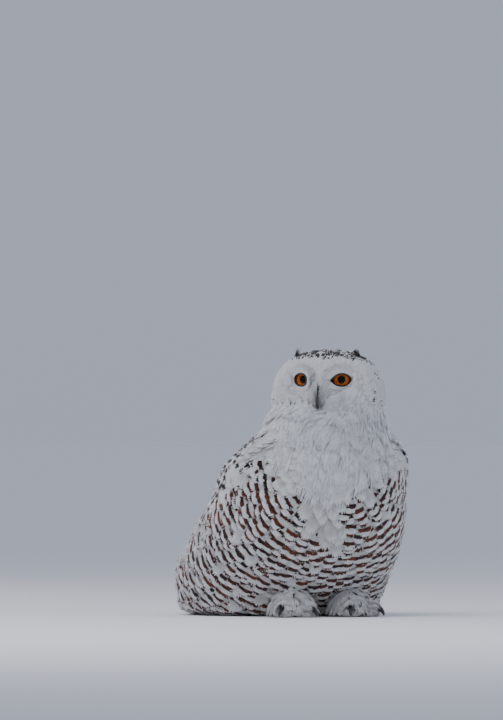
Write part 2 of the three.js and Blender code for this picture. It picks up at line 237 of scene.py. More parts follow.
def head_own(d, out=0.0):
    """The head in its own frame: an ovoid with a fuller ruff, a flattened face and a dish round each eye."""
    angle, turn = np.arctan2(d[..., 0], -d[..., 1]), np.arccos(np.clip(d[..., 2], -1, 1))
    rise = np.cos(turn)
    ring = np.sin(turn) ** np.where(rise > 0, HEAD_CROWN, HEAD_CHIN)
    z = rise * (np.where(rise > 0, HEAD_UP, HEAD_UNDER) + out)
    ahead = np.cos(angle) > 0
    side, reach = head_halves(z, ahead)
    power = np.where(ahead, 2 / FACE_ROUNDNESS, 1)
    x = (side + out) * ring * signed_power(np.sin(angle), power)
    y = -(reach + out) * ring * signed_power(np.cos(angle), power)
    dish = DISH_DEPTH * bell((np.abs(x) - DISH_SIDE) / DISH_HALF_WIDTH)
    dish = dish * bell((z - DISH_HEIGHT) / DISH_HALF_HEIGHT) * ahead
    return np.stack([x, np.minimum(y + dish, np.maximum(y, 0)), z], axis=-1)


def head_form(d, out=0.0):
    """The head in the layout, over a sphere of directions in its own frame."""
    return head_turn(head_own(d, out))


def ruff_form(d, out=0.0):
    """The throat's ruff: an ellipsoid."""
    return RUFF_CENTRE + d * (RUFF_HALF + out)


def inside(centre, half, p):
    """Above 1 outside an ellipsoid and below 1 inside it."""
    return np.sqrt(np.sum(((p - centre) / half) ** 2, axis=-1))


def clearances(p):
    """About how far points are outside the trunk, the head and the ruff."""
    half, front, back = along(TRUNK_SECTIONS, p[..., 2])
    deep = (back - front) / 2
    x, y = np.abs(p[..., 0]) / half, np.abs(p[..., 1] - (front + back) / 2) / deep
    q = (x**TRUNK_ROUNDNESS + y**TRUNK_ROUNDNESS) ** (1 / TRUNK_ROUNDNESS)
    trunk = np.maximum((q - 1) * np.minimum(half, deep), p[..., 2] - TRUNK_TOP + 3)
    o = head_unturn(p)
    high = o[..., 2] > 0
    rise = np.clip(o[..., 2] / np.where(high, HEAD_UP, HEAD_UNDER), -1, 1)
    ring = np.maximum(1 - rise**2, 1e-3) ** (np.where(high, HEAD_CROWN, HEAD_CHIN) / 2)
    ahead = o[..., 1] < 0
    side, reach = (half * ring for half in head_halves(o[..., 2], ahead))
    power = np.where(ahead, FACE_ROUNDNESS, 2.0)
    q = (np.abs(o[..., 0]) / side) ** power + (np.abs(o[..., 1]) / reach) ** power
    head = (q ** (1 / power) - 1) * np.minimum(side, reach)
    return trunk, head, (inside(RUFF_CENTRE, RUFF_HALF, p) - 1) * RUFF_REACH


def beyond(p):
    """About how far points are outside the trunk, head and ruff taken together, with the creases between
    them filled: minus k log of the sum of exp(-distance / k)."""
    k = CREASE_SOFTNESS
    return -k * np.log(sum(np.exp(-np.minimum(d, 200) / k) for d in clearances(p)))


THROAT = np.array([0.0, 6.0, 262.0])


def throat_form(d, out=0.0):
    """The throat, nape and shoulders as one rounded form: how far each direction from the throat's middle
    reaches, found by halving."""
    near, far = np.full(d.shape[:-1], 15.0), np.full(d.shape[:-1], 220.0)
    for _ in range(20):
        middle = (near + far) / 2
        outside = beyond(THROAT + d * middle[..., None]) > out
        near, far = np.where(outside, near, middle), np.where(outside, middle, far)
    return THROAT + d * middle[..., None]


# ---------- walking over a form ----------


def footing(form, d):
    """A form's point, outward normal and two tangents at each direction, with the sphere's own tangents."""
    axis = np.where(np.abs(d[..., 2:]) > 0.9, [1.0, 0, 0], [0, 0, 1.0])
    e1 = unit(np.cross(d, axis))
    e2 = np.cross(d, e1)
    step = 2e-3
    p = form(d)
    j1 = (form(unit(d + step * e1)) - form(unit(d - step * e1))) / (2 * step)
    j2 = (form(unit(d + step * e2)) - form(unit(d - step * e2))) / (2 * step)
    return p, unit(np.cross(j1, j2)), j1, j2, e1, e2


def lay(form, start, heading, length, stations):
    """Walks over a form from each start for its length, along heading(point, normal, direction). Gives the
    points and normals at the stations, as (feather, station, 3). A walk that comes to a form's edge, where
    the next place would be far off, goes straight on."""
    d, points, normals = start, [], []
    stride = (length / (stations - 1))[:, None]
    for _ in range(stations):
        p, n, j1, j2, e1, e2 = footing(form, d)
        h = heading(p, n, d)
        h = unit(h - n * dot(h, n))
        a, b, c = dot(j1, j1), dot(j1, j2), dot(j2, j2)
        u, v = dot(j1, h), dot(j2, h)
        gap = np.maximum(a * c - b * b, 1e-3)
        d = unit(d + (e1 * (c * u - b * v) + e2 * (a * v - b * u)) / gap * stride)
        if points:
            far = np.linalg.norm(p - points[-1], axis=-1, keepdims=True) > 2 * stride
            p = np.where(far, points[-1] + onward * stride, p)
            n, h = np.where(far, normals[-1], n), np.where(far, onward, h)
        points.append(p)
        normals.append(n)
        onward = h
    return np.stack(points, 1), np.stack(normals, 1)


# ---------- meshes from arrays ----------


def label(mesh, name, values, kind="FLOAT_VECTOR", field="vector"):
    """Values on a mesh's points, under a name that a material reads."""
    mesh.attributes.new(name, kind, "POINT").data.foreach_set(field, values.astype(np.float32).ravel())


def shape_mesh(name, points, faces):
    """A smooth mesh from layout points and a list of face arrays, each (count, corners)."""
    mesh = bpy.data.meshes.new(name)
    corners = np.concatenate([f.ravel() for f in faces]).astype(np.int32)
    sizes = np.concatenate([np.full(len(f), f.shape[1]) for f in faces])
    starts = np.concatenate([[0], np.cumsum(sizes)[:-1]]).astype(np.int32)
    mesh.vertices.add(len(points))
    mesh.vertices.foreach_set("co", placed(points).astype(np.float32).ravel())
    mesh.loops.add(len(corners))
    mesh.loops.foreach_set("vertex_index", corners)
    mesh.polygons.add(len(starts))
    mesh.polygons.foreach_set("loop_start", starts)
    mesh.update(calc_edges=True)
    mesh.polygons.foreach_set("use_smooth", np.ones(len(starts), bool))
    return mesh


def in_scene(name, data):
    """A new object in the scene."""
    made = bpy.data.objects.new(name, data)
    bpy.context.scene.collection.objects.link(made)
    return made


def piece(name, mesh, material, nodes=()):
    """A finished object: in the scene, riding on the part's one body, standing for CAD nodes."""
    made = in_scene(name, mesh)
    mesh.materials.append(material)
    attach(made, "root")
    if nodes:
        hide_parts(*nodes)
    return made


def grid_faces(rows, columns):
    """Quads of a grid of rows by columns, whose columns close into rings."""
    ring, c = np.meshgrid(np.arange(rows - 1) * columns, np.arange(columns), indexing="ij")
    nxt = (c + 1) % columns
    return np.stack([ring + c, ring + nxt, ring + columns + nxt, ring + columns + c], -1).reshape(-1, 4)


def closed_form(rings):
    """(points, faces) of a closed skin from rings (rows, columns, 3) whose first and last are poles."""
    rows, columns = rings.shape[:2]
    poles = [rings[0].mean(0), rings[-1].mean(0)]
    points = np.concatenate([rings[1:-1].reshape(-1, 3), poles])
    top, bottom = len(points) - 2, len(points) - 1
    c = np.arange(columns)
    nxt = (c + 1) % columns
    last = (rows - 3) * columns
    fans = [np.stack([nxt, c, 0 * c + top], -1), np.stack([last + c, last + nxt, 0 * c + bottom], -1)]
    return points, [grid_faces(rows - 2, columns), *fans]


def outward(points, faces):
    """The same faces, all turned round if the closed skin they make is inside out."""
    corners = [(f, k) for f in faces for k in range(1, f.shape[1] - 1)]
    volume = sum(np.sum(points[f[:, 0]] * np.cross(points[f[:, k]], points[f[:, k + 1]])) for f, k in corners)
    return faces if volume > 0 else [f[:, ::-1] for f in faces]


def joined(shapes):
    """One (points, faces) from several."""
    points, faces, base = [], [], 0
    for p, fs in shapes:
        points.append(p)
        faces += [f + base for f in fs]
        base += len(p)
    return np.concatenate(points), faces


# ---------- feathers ----------

RIB = np.array([[-1, 0], [0, 1], [1, 0], [0, -1]], float)  # a vane's section: edge, top, edge, underside
BARB = np.array([[-1, -0.7], [0, 1], [1, -0.7]], float)  # a barb lock's section, its edges tucked down

# how a feather is made. vane: whether it has one, how far it reaches, how wide and how thick it is, in shares
# of the feather and mm. locks: how many, how many stations each has, how wide they are against an even
# spacing, and their most thickness. fan and sweep: how far the outline spreads, and how much shorter its
# edges are. leave: the share of the shaft where the middle locks leave it, and the edge ones. ragged,
# lift_spread: how uneven the locks' ends and heights are. camber: how much the edges hang. relief: how far
# each lock's own roundness shows in the light.
FEATHER = dict(
    vane=True, vane_reach=0.9, vane_width=0.8, thick=0.3, locks=9, lock_stations=4, lock_width=1.5,
    lock_thick=0.45, fan=1.0, sweep=0.42, leave=0.45, leave_edge=0.12, ragged=0.1, lift=0.5, lift_spread=0.5,
    camber=0.25, relief=0.3,
)
CONTOUR = dict(
    FEATHER, locks=11, camber=0.12, ragged=0.07, lift_spread=0.12, lock_width=1.8, lock_thick=0.3, lift=0.3,
)
MANTLE = dict(
    FEATHER, locks=11, camber=0.14, ragged=0.06, lift_spread=0.08, lock_width=1.8, lock_thick=0.3, sweep=0.34,
)
BLADE = dict(
    FEATHER, locks=15, camber=0.12, vane_reach=0.96, vane_width=0.92, ragged=0.05, lift_spread=0.12, lift=0.2,
    sweep=0.22, leave=0.5, leave_edge=0.3, lock_width=1.8, thick=0.4,
)
LOOSE = dict(FEATHER, vane=False, leave_edge=0.0, relief=0.15, lock_thick=0.25, lift_spread=0.15, sweep=0.3)
PLUME = dict(LOOSE, locks=15, lock_stations=5, ragged=0.4, leave=0.2, lock_width=2.3, lift=0.3)
FOOT_TUFT = dict(LOOSE, locks=6, ragged=0.35, leave=0.1, lock_width=1.4, lift=0.2)
SMALL = dict(
    LOOSE, locks=6, ragged=0.3, leave=0.15, leave_edge=0.02, lock_width=1.6, lift_spread=0.06, lift=0.15,
    lock_thick=0.15, sweep=0.35,
)
BRISTLE = dict(
    LOOSE, locks=3, lock_stations=5, fan=0.9, ragged=0.25, leave=0.05, lock_width=0.7, lock_thick=0.35,
    sweep=0.2, lift=0.1, lift_spread=0.2, relief=0.3,
)
ROW, COLUMN = 12.8, 16.0  # mm between the belly's rows of feathers, and between the feathers of a row
PLAIN = (0.0, 0.5, 0.0)  # how a feather is marked: how much it is barred, rusty and spotted
PIECE_LIMIT = 190000  # triangles in one coat piece
BURIED = -9.0  # mm: a root that lies deeper in the head's or the throat's form grows nothing

rng = np.random.default_rng(11)


def tubes(spine, side, up, half_width, half_thick, ring, relief):
    """Closed tubes (tube, station, corner): the ring, scaled by the half sizes, carried along each spine, and
    each corner's normal: the ring's own by the share relief, and the coat's for the rest, so that thousands
    of thin locks catch the light as one soft surface."""
    count, stations, corners = len(spine), spine.shape[1], len(ring)
    points = spine[:, :, None] + side[:, :, None] * (ring[:, 0, None] * half_width[:, :, None, None])
    points = points + up[:, :, None] * (ring[:, 1, None] * half_thick[:, :, None, None])
    flat = np.where(ring[:, 1:] < -0.9, 0.0, 1 - relief)
    turned = side[:, :, None] * ring[:, 0, None] + up[:, :, None] * (ring[:, 1, None] + 0.3)
    normal = unit(unit(turned) * (1 - flat) + up[:, :, None] * flat)
    base = (np.arange(count) * stations * corners)[:, None]
    wall = (base[:, :, None] + grid_faces(stations, corners)[None]).reshape(-1, 4)
    k = np.arange(corners)
    return points, [wall, base + k[::-1], base + (stations - 1) * corners + k], normal


def frames_of(spine, normals):
    """Side and up directions along spines, square to them, from the surface's normals."""
    ahead = unit(np.gradient(spine, axis=1))
    side = unit(np.cross(ahead, normals))
    return side, np.cross(side, ahead)


def at_share(values, share):
    """Values (feather, station, ...) read at shares (feather, lock, point) of the way along."""
    last = values.shape[1] - 1
    where = np.clip(share, 0, 1) * last
    i = np.minimum(where.astype(int), last - 1)
    t = (where - i)[..., None]
    row = np.arange(len(values))[:, None, None]
    return values[row, i] * (1 - t) + values[row, i + 1] * t


def feathers(spine, normals, width, kind):
    """Feathers from their spines: a thin vane with a raised shaft, and barb locks that leave the shaft and
    reach the outline, so that its edge is soft. Returns points, faces, each point's (across, mm from the tip,
    seed), its feather, its share along and its normal."""
    count = len(spine)
    length = np.linalg.norm(np.diff(spine, axis=1), axis=-1).sum(1)
    seed = rng.random(count)
    side, up = frames_of(spine, normals)
    half, relief, made = width / 2, kind["relief"], []

    def keep(points, faces, normal, across, share):
        """Sets tubes aside with what their points know; across and share run over (feather, ..., corner)."""
        own = lambda values: np.broadcast_to(values.reshape(-1, *[1] * (across.ndim - 1)), across.shape)
        share = np.broadcast_to(share, across.shape)
        knows = np.stack([across, (1 - share) * own(length), own(seed), own(np.arange(count)), share], -1)
        made.append((points.reshape(-1, 3), faces, knows.reshape(-1, 5), normal.reshape(-1, 3)))

    if kind["vane"]:
        s = np.linspace(0, kind["vane_reach"], spine.shape[1])
        at = np.broadcast_to(s, (count, 1, len(s)))
        body, vane_side, vane_up = (at_share(values, at)[:, 0] for values in (spine, side, up))
        outline = kind["vane_width"] * (0.3 + 0.7 * ease(0, 0.5, s))
        outline = outline * np.sqrt(np.clip(1.02 - ease(0.55, kind["vane_reach"] * 1.04, s) ** 2, 0.03, 1))
        wide = half[:, None] * outline
        thick = np.full(wide.shape, kind["thick"])
        points, faces, normal = tubes(body, vane_side, vane_up, wide, thick, RIB, relief)
        hang = kind["camber"] * wide[:, :, None, None] * RIB[:, 0, None] ** 2
        points = points - vane_up[:, :, None] * hang
        across = np.broadcast_to(outline[:, None] * RIB[:, 0], points.shape[:3])
        keep(points, faces, normal, across, s[:, None])

    locks, stations = kind["locks"], kind["lock_stations"]
    fan, u = np.linspace(-1, 1, locks), np.linspace(0, 1, stations)
    jitter = lambda amount: rng.uniform(-amount, amount, (count, locks))
    end_across = kind["fan"] * fan * (1 - 0.12 * fan**2) + jitter(kind["ragged"])
    end_share = 1 - kind["sweep"] * np.abs(fan) ** 1.7 + jitter(kind["ragged"] * 0.45)
    begin_share = kind["leave"] * (1 - np.abs(fan)) + kind["leave_edge"] + jitter(0.05)
    begin_share = np.minimum(begin_share, end_share - 0.2)
    s = begin_share[..., None] + (end_share - begin_share)[..., None] * (0.45 * u + 0.55 * u**2)
    t = end_across[..., None] * np.sin(u * np.pi / 2)
    lift = (kind["lift"] + jitter(kind["lift_spread"]))[..., None] * (0.35 + 0.65 * u)
    wide = half[:, None, None]
    lock_up = at_share(up, s)
    path = at_share(spine, s)
    past_tip = np.maximum(s - 1, 0) * length[:, None, None]
    path = path + unit(spine[:, -1] - spine[:, -2])[:, None, None] * past_tip[..., None]
    path = path + at_share(side, s) * (t * wide)[..., None]
    path = path + lock_up * (lift - kind["camber"] * t**2 * wide)[..., None]
    path = path.reshape(-1, stations, 3)
    lock_side, lock_up = frames_of(path, lock_up.reshape(-1, stations, 3))
    lock_half = kind["lock_width"] / locks * np.sqrt(np.clip(1.0 - u**2.2, 0.0, 1)) + 0.03
    lock_half = wide * lock_half * (1 + jitter(0.2))[..., None]
    flat_half = lock_half.reshape(-1, stations)
    lock_thick = np.minimum(flat_half * 0.45, kind["lock_thick"])
    points, faces, normal = tubes(path, lock_side, lock_up, flat_half, lock_thick, BARB, relief)
    soft = at_share(normals, s).reshape(-1, stations, 1, 3)
    across = t[..., None] + BARB[:, 0] * lock_half[..., None] / wide[..., None]
    keep(points, faces, unit(normal * relief + soft * (1 - relief)), across, s[..., None])

    points, faces = joined([m[:2] for m in made])
    knows, lit = (np.concatenate([m[k] for m in made]) for k in (2, 3))
    return points, faces, knows[:, :3], knows[:, 3].astype(int), knows[:, 4], lit


def bake_cells(roots, owner, across, share):
    """The OFBake map: an unwrap of the skin where each feather has its own cell at its root's place. Roots
    are ranked by how far down they are into strips, and by their angle within a strip."""
    rank = np.arange(len(roots))
    strips = max(1, round(np.sqrt(len(roots))))
    in_strip = int(np.ceil(len(roots) / strips))
    strip = np.empty(len(roots), int)
    strip[np.argsort(roots[:, 1], kind="stable")] = rank // in_strip
    cell = np.empty((len(roots), 2))
    cell[np.lexsort((roots[:, 1], roots[:, 0], strip))] = np.stack([rank % in_strip, rank // in_strip], -1)
    inner = np.stack([0.5 + 0.42 * np.clip(across, -1.15, 1.15), 0.08 + 0.8 * np.clip(share, 0, 1.05)], -1)
    return (cell[owner] + inner) / [in_strip, strips]


def coat(name, made, roots, dress, material, nodes):
    """A coat piece: its mesh, what the material reads (lie and dress) and its OFBake map."""
    points, faces, lie, owner, share, lit = made
    points[:, 2] = np.maximum(points[:, 2], GROUND_GAP)
    mesh = shape_mesh(name, points, faces)
    label(mesh, "lie", lie)
    label(mesh, "dress", dress[owner])
    label(mesh, "custom_normal", lit)
    uv = bake_cells(roots, owner, lie[:, 0], share)[np.concatenate([f.ravel() for f in faces])]
    mesh.uv_layers.new(name="OFBake").data.foreach_set("uv", uv.astype(np.float32).ravel())
    piece(name, mesh, material, nodes)


# ---------- materials ----------


def srgb(code):
    """A hex colour as linear light."""
    channels = [int(code[i : i + 2], 16) / 255 for i in (1, 3, 5)]
    return (*[c / 12.92 if c <= 0.04045 else ((c + 0.055) / 1.055) ** 2.4 for c in channels], 1.0)


def add_node(tree, kind, inputs=(), out=0, **settings):
    """One shader node: its kind, with its operation if it has one, its settings by name, and its inputs in
    order, or by number or name, each a value or a link. Gives the output asked for, or all of them for
    None."""
    kind, *operation = kind.split()
    node = tree.nodes.new("ShaderNode" + kind)
    if operation:
        node.operation = operation[0]
    for key, value in settings.items():
        setattr(node, key, value)
    for key, value in inputs.items() if isinstance(inputs, dict) else enumerate(inputs):
        if isinstance(value, bpy.types.NodeSocket):
            tree.links.new(value, node.inputs[key])
        else:
            node.inputs[key].default_value = value
    return node.outputs if out is None else node.outputs[out]


SMOOTH = {"interpolation_type": "SMOOTHSTEP"}  # a map range that eases in and out
COLOUR = {"data_type": "RGBA"}  # a mix of two colours, read from output 2


def fresh(name, **values):
    """A new material, its Principled shader with the fixed values on its own sockets, and its add_node."""
    material = bpy.data.materials.new(name)
    material.use_nodes = True
    shader = material.node_tree.nodes["Principled BSDF"]
    for key, value in values.items():
        shader.inputs[key.replace("_", " ")].default_value = value
    return material, shader, partial(add_node, material.node_tree)


def colour(shader, socket):
    """Links a colour to a shader."""
    shader.id_data.links.new(socket, shader.inputs["Base Color"])


# how a feather is painted, in mm along it from its tip. spacing, first: of the bars' middles. thin, thick: a
# bar's least half thickness, and what the wander adds. wander, bow, stray: how uneven, how bowed and how
# different from feather to feather the bars are. edge: the white tip. reach: the half width that bars reach,
# as a share. narrow, spot_more: how much narrower and thicker a spot is. down, deep_from, deep_to: the downy
# base's grey and where it comes in; on the barred flank feathers it comes in early, as painted shade between
# the rows
PAINT = dict(
    down="#c9c5bf", spacing=9.5, first=5.5, thin=0.45, thick=1.6, wander=4.0, bow=2.2, stray=1.5, edge=1.5,
    reach=0.98, narrow=0.42, spot_more=0.8, deep_from=12.0, deep_to=34.0,
)


def plumage(name, white, shade, dark, rust, **own):
    """Keratin barbs of a contour feather: chalk-white, matt and softly sheened, with melanin bars that cross
    each vane. lie gives the place on the feather and dress how strongly it is barred, rusty and spotted."""
    paint = dict(PAINT, **own)
    material, shader, add = fresh(
        name, Roughness=0.86, Sheen_Weight=0.08, Sheen_Roughness=0.6, Specular_IOR_Level=0.15,
        Subsurface_Weight=0.5, Subsurface_Scale=0.004, Subsurface_Radius=(1.0, 0.95, 0.9),
    )
    across, from_tip, seed = add("SeparateXYZ", (add("Attribute", (), "Vector", attribute_name="lie"),), None)
    dress = add("Attribute", (), "Vector", attribute_name="dress")
    barred, rusty, spotted = add("SeparateXYZ", (dress,), None)

    # barb-scale wander of the bars' edges, about 1 mm, different on each feather
    place = (
        add("Math MULTIPLY_ADD", (seed, 41.0, add("Math MULTIPLY", (across, 1.7)))),
        add("Math MULTIPLY", (from_tip, 0.16)),
        add("Math MULTIPLY", (seed, 83.0)),
    )
    wander = add("TexNoise", {"Vector": add("CombineXYZ", place), "Scale": 1.0, "Detail": 2.0})

    # level: how far from the tip, as the bowed and wandering bars count it; gap: from the nearest bar's
    # middle
    bow = add("Math MULTIPLY", (add("Math MULTIPLY", (across, across)), paint["bow"]))
    level = add("Math SUBTRACT", (from_tip, bow))
    uneven = add("Math SUBTRACT", (wander, 0.5))
    level = add("Math MULTIPLY_ADD", (uneven, paint["wander"], level))
    level = add("Math MULTIPLY_ADD", (seed, paint["stray"], level))
    phase = add("Math SUBTRACT", (level, paint["first"]))
    phase = add("Math DIVIDE", (phase, paint["spacing"]))
    phase = add("Math FRACT", (add("Math ADD", (phase, 0.5)),))
    phase = add("Math ABSOLUTE", (add("Math SUBTRACT", (phase, 0.5)),))
    gap = add("Math MULTIPLY", (phase, paint["spacing"]))
    half = add("Math MULTIPLY_ADD", (wander, paint["thick"], paint["thin"]))
    half = add("Math MULTIPLY_ADD", (spotted, paint["spot_more"], half))
    side = add("Math ABSOLUTE", (across,))
    side = add("Math MULTIPLY_ADD", (spotted, paint["narrow"], side))
    bar = add("MapRange", (add("Math SUBTRACT", (gap, half)), -0.35, 0.35, 1.0, 0.0), **SMOOTH)
    for share in (
        add("MapRange", (side, paint["reach"] - 0.2, paint["reach"], 1.0, 0.0), **SMOOTH),
        add("MapRange", (from_tip, paint["edge"], paint["edge"] * 2), **SMOOTH),
        barred,
    ):
        bar = add("Math MULTIPLY", (bar, share))

    grain = {"Vector": add("TexCoord", (), "Object"), "Scale": 260.0, "Detail": 3.0, "Roughness": 0.6}
    mottle = add("MapRange", (add("TexNoise", grain), 0.35, 0.75), **SMOOTH)
    base = add("Mix", {0: mottle, 6: srgb(white), 7: srgb(shade)}, 2, **COLOUR)
    # greyer towards the root: the downy base, which on the barred flank feathers also stands as painted shade
    # between the rows
    deep = add("MapRange", (from_tip, paint["deep_from"], paint["deep_to"], 0.0, 0.7), **SMOOTH)
    base = add("Mix", {0: deep, 6: base, 7: srgb(paint["down"])}, 2, **COLOUR)
    rusty = (rusty, add("MapRange", (wander, 0.3, 0.7), **SMOOTH))
    rusty = add("Math MULTIPLY", rusty, use_clamp=True)
    ink = add("Mix", {0: rusty, 6: srgb(dark), 7: srgb(rust)}, 2, **COLOUR)
    colour(shader, add("Mix", {0: bar, 6: base, 7: ink}, 2, **COLOUR))
    return material


# barred flank feathers: white a little greyer than the bib's, and the downy base's grey brought out to 5 mm
# from the tip, both painted shade between the rows and on the shaded sides
PLUMAGE = plumage(
    "barred_contour_feather", "#f1f1ef", "#e0deda", "#1a1110", "#7a3d26", down="#b4b1ad", deep_from=5.0,
    deep_to=18.0, spacing=13.0, first=3.8, thick=3.9, thin=1.0, wander=5.0, stray=2.6, edge=0.4, reach=0.86,
)
SPOTTED = plumage(
    "spotted_mantle_feather", "#f2f2f1", "#e2e0dd", "#0c0a0a", "#33211a", spacing=26.0, first=6.5, thick=3.6,
    thin=2.2, wander=3.0, bow=0.5, edge=0.5, narrow=0.62,
)
WHITE = plumage("white_down_feather", "#f6f7f8", "#eaebec", "#2a2321", "#4b3a31", down="#d9dadb", first=4.0)
CROWN = plumage(
    "small_head_feather", "#f6f6f5", "#e9e8e6", "#0f0c0c", "#38241d", down="#d6d5d2", deep_from=6.0,
    deep_to=18.0, spacing=20.0, first=2.6, thick=1.6, thin=1.0, wander=1.6, bow=0.6, stray=0.8, edge=0.1,
    narrow=0.05, spot_more=2.2,
)
BRISTLES = plumage(
    "rictal_bristle", "#a9a9a6", "#6f6e6c", "#2a2321", "#4b3a31", down="#eeeeec", deep_from=3.0, deep_to=13.0
)
EAR_DARK = plumage("ear_tuft_plume", "#352e2a", "#1f1a18", "#171312", "#171312", down="#8a8078")
# foot feathers: white, painted darker grey for the belly's shadow over the feet, and greyer still towards
# their roots
SHADED_FOOT_DOWN = plumage(
    "foot_feather_painted_shade", "#e0dfdd", "#cbc9c6", "#2a2321", "#4b3a31", down="#b3b0ac", deep_from=8.0, deep_to=20.0
)
TAIL_FEATHER = plumage(
    "flight_feather", "#f0efec", "#e0ded9", "#2c2421", "#574036", down="#d8d5d0", deep_from=60.0,
    deep_to=140.0, spacing=24.0, first=16.0, thick=2.2, thin=1.4,
)

# black keratin: glossy dark horn with faint paler streaks
HORN, shader, add = fresh("black_keratin_horn", Roughness=0.32, Coat_Weight=0.25)
streaks = add("TexNoise", {"Vector": add("TexCoord", (), "Object"), "Scale": 180.0, "Detail": 4.0})
streaks = add("MapRange", (streaks, 0.35, 0.7), **SMOOTH)
colour(shader, add("Mix", {0: streaks, 6: srgb("#0b0b0d"), 7: srgb("#1d1c1e")}, 2, **COLOUR))

# iris: amber fibres that run out from a black pupil to a dark rim, and a black ring round it
LIMBUS, IRIS_EDGE, PUPIL, IRIS_FRONT = 12.8, 12.3, 5.7, 6.2  # mm from the eye's axis, and forwards
IRIS, shader, add = fresh("amber_iris", Roughness=0.6, Specular_IOR_Level=0.1)
spoke_x, spoke_z, radius = add("SeparateXYZ", (add("Attribute", (), "Vector", attribute_name="ring"),), None)
fibre_at = [add("Math MULTIPLY", pair) for pair in ((spoke_x, 9.0), (spoke_z, 9.0), (radius, 0.25))]
fibres = add("TexNoise", {"Vector": add("CombineXYZ", fibre_at), "Scale": 1.0, "Detail": 3.0})
fibres = add("MapRange", (fibres, 0.35, 0.65), **SMOOTH)
amber = add("Mix", {0: fibres, 6: srgb("#943403"), 7: srgb("#cb6a10")}, 2, **COLOUR)
for start, end, outer in ((9.0, 11.4, "#702404"), (11.7, 12.1, "#0a0807")):
    darker = add("MapRange", (radius, start, end), **SMOOTH)
    amber = add("Mix", {0: darker, 6: amber, 7: srgb(outer)}, 2, **COLOUR)
pupil = add("MapRange", (radius, PUPIL - 0.15, PUPIL + 0.15), **SMOOTH)
colour(shader, add("Mix", {0: pupil, 6: srgb("#020202"), 7: amber}, 2, **COLOUR))

# cornea: clear and wet, seen only by its gloss
CORNEA, shader, add = fresh("clear_cornea")
tree = shader.id_data
tree.nodes.remove(shader)
gloss = add("BsdfGlossy", {"Roughness": 0.03})
rim_gloss = add("LayerWeight", {"Blend": 0.12}, "Facing")
rim_gloss = add("Math MULTIPLY_ADD", (rim_gloss, 0.1, 0.005))
wet = add("MixShader", (rim_gloss, add("BsdfTransparent"), gloss))
tree.links.new(wet, tree.nodes["Material Output"].inputs["Surface"])

# lids: bare black skin along the edge, paler and feathered behind it
LID, shader, add = fresh("bare_lid_skin", Roughness=0.45)
rim = add("MapRange", (add("Attribute", (), "Fac", attribute_name="rim"), 0.3, 0.8), **SMOOTH)
colour(shader, add("Mix", {0: rim, 6: srgb("#a9a7a3"), 7: srgb("#0b0a0a")}, 2, **COLOUR))

# down-covered skin: pale and matt, with the coat's markings under it: bars in rings round the breast's
# sources outside the bib and below the flank's edge, and spots on the mantle and the crown
SKIN, shader, add = fresh("down_covered_skin", Roughness=0.9, Specular_IOR_Level=0.1)
object_place = add("TexCoord", (), "Object")
layout = (object_place, (1 / MM,) * 3, tuple(-1000 * SHIFT))
x, y, height = add("SeparateXYZ", (add("VectorMath MULTIPLY_ADD", layout),), None)
behind = add("Math SUBTRACT", (30.0, y))
turn = add("Math ABSOLUTE", (add("Math ARCTAN2", (x, behind)),))  # from the breast
flank = add("Math MULTIPLY_ADD", (turn, -86.0, 310.0))  # the height of the flank's edge
front = add("Math MAXIMUM", (add("Math SUBTRACT", (1.01, turn)), 0.0))
flank = add("Math MULTIPLY_ADD", (front, 286.0, flank))
above = add("MapRange", (add("Math SUBTRACT", (height, flank)), -6.0, 6.0), **SMOOTH)
high = add("Math MAXIMUM", (add("Math SUBTRACT", (height, 160.0)), 0.0))
bib = add("Math MULTIPLY_ADD", (high, 0.0126, 0.1))  # the bib's half width, wider higher up
outside = add("MapRange", (add("Math SUBTRACT", (turn, bib)), -0.06, 0.06), **SMOOTH)
fall = add("Math MAXIMUM", (add("Math SUBTRACT", (206.0, height)), 0.0))
round_by = add("Math MULTIPLY", (turn, 130.0))
squares = [add("Math MULTIPLY", (way, way)) for way in (fall, round_by)]
ring = add("Math SQRT", (add("Math ADD", squares),))  # mm from the bars' source
broken = add("TexNoise", {"Vector": object_place, "Scale": 70.0, "Detail": 2.0})
row = add("Math DIVIDE", (add("Math MULTIPLY_ADD", (broken, 9.0, ring)), ROW))
bars = add("MapRange", (add("Math FRACT", (row,)), 0.3, 0.4, 1.0, 0.0), **SMOOTH)
below = add("Math SUBTRACT", (1.0, above))
for share in (add("MapRange", (broken, 0.38, 0.44), **SMOOTH), outside, below):
    bars = add("Math MULTIPLY", (bars, share))
cells = add("TexVoronoi", {"Vector": object_place, "Scale": 72.0}, "Distance")
spots = add("Math MULTIPLY", (add("MapRange", (cells, 0.3, 0.36, 1.0, 0.0), **SMOOTH), above))
nape = add("MapRange", (height, 292.0, 300.0, 1.0, 0.0), **SMOOTH)
mantle = (add("MapRange", (turn, 0.85, 0.95), **SMOOTH), nape)
crown = add("MapRange", (height, 366.0, 370.0), **SMOOTH)
marked = add("Math ADD", (add("Math MULTIPLY", mantle), crown))
spots = add("Math MULTIPLY", (spots, marked))
marks = add("Math ADD", (bars, spots), use_clamp=True)
colour(shader, add("Mix", {0: marks, 6: srgb("#cfccc8"), 7: srgb("#2a1b17")}, 2, **COLOUR))

# ---------- camera, light and floor ----------

VIEW_AZIMUTH = -22.0  # the camera stands a little to the bird's right
VIEW_DISTANCE, VIEW_HEIGHT = 12.0, 0.287
FRAME_TALL = 1.022  # metres of the bird's plane that the frame is tall
AIM_SIDE, AIM_HEIGHT = -0.107, 0.365


def aimed(name, data, place, target):
    """An object of that data at a place, looking at a target along its -Z with +Y up."""
    back = unit(np.array(place, float) - np.array(target, float))
    right = unit(np.cross(UP, back))
    matrix = np.eye(4)
    matrix[:3, :3], matrix[:3, 3] = np.stack([right, np.cross(back, right), back], 1), place
    made = in_scene(name, data)
    made.matrix_world = Matrix(matrix.tolist())
    return made


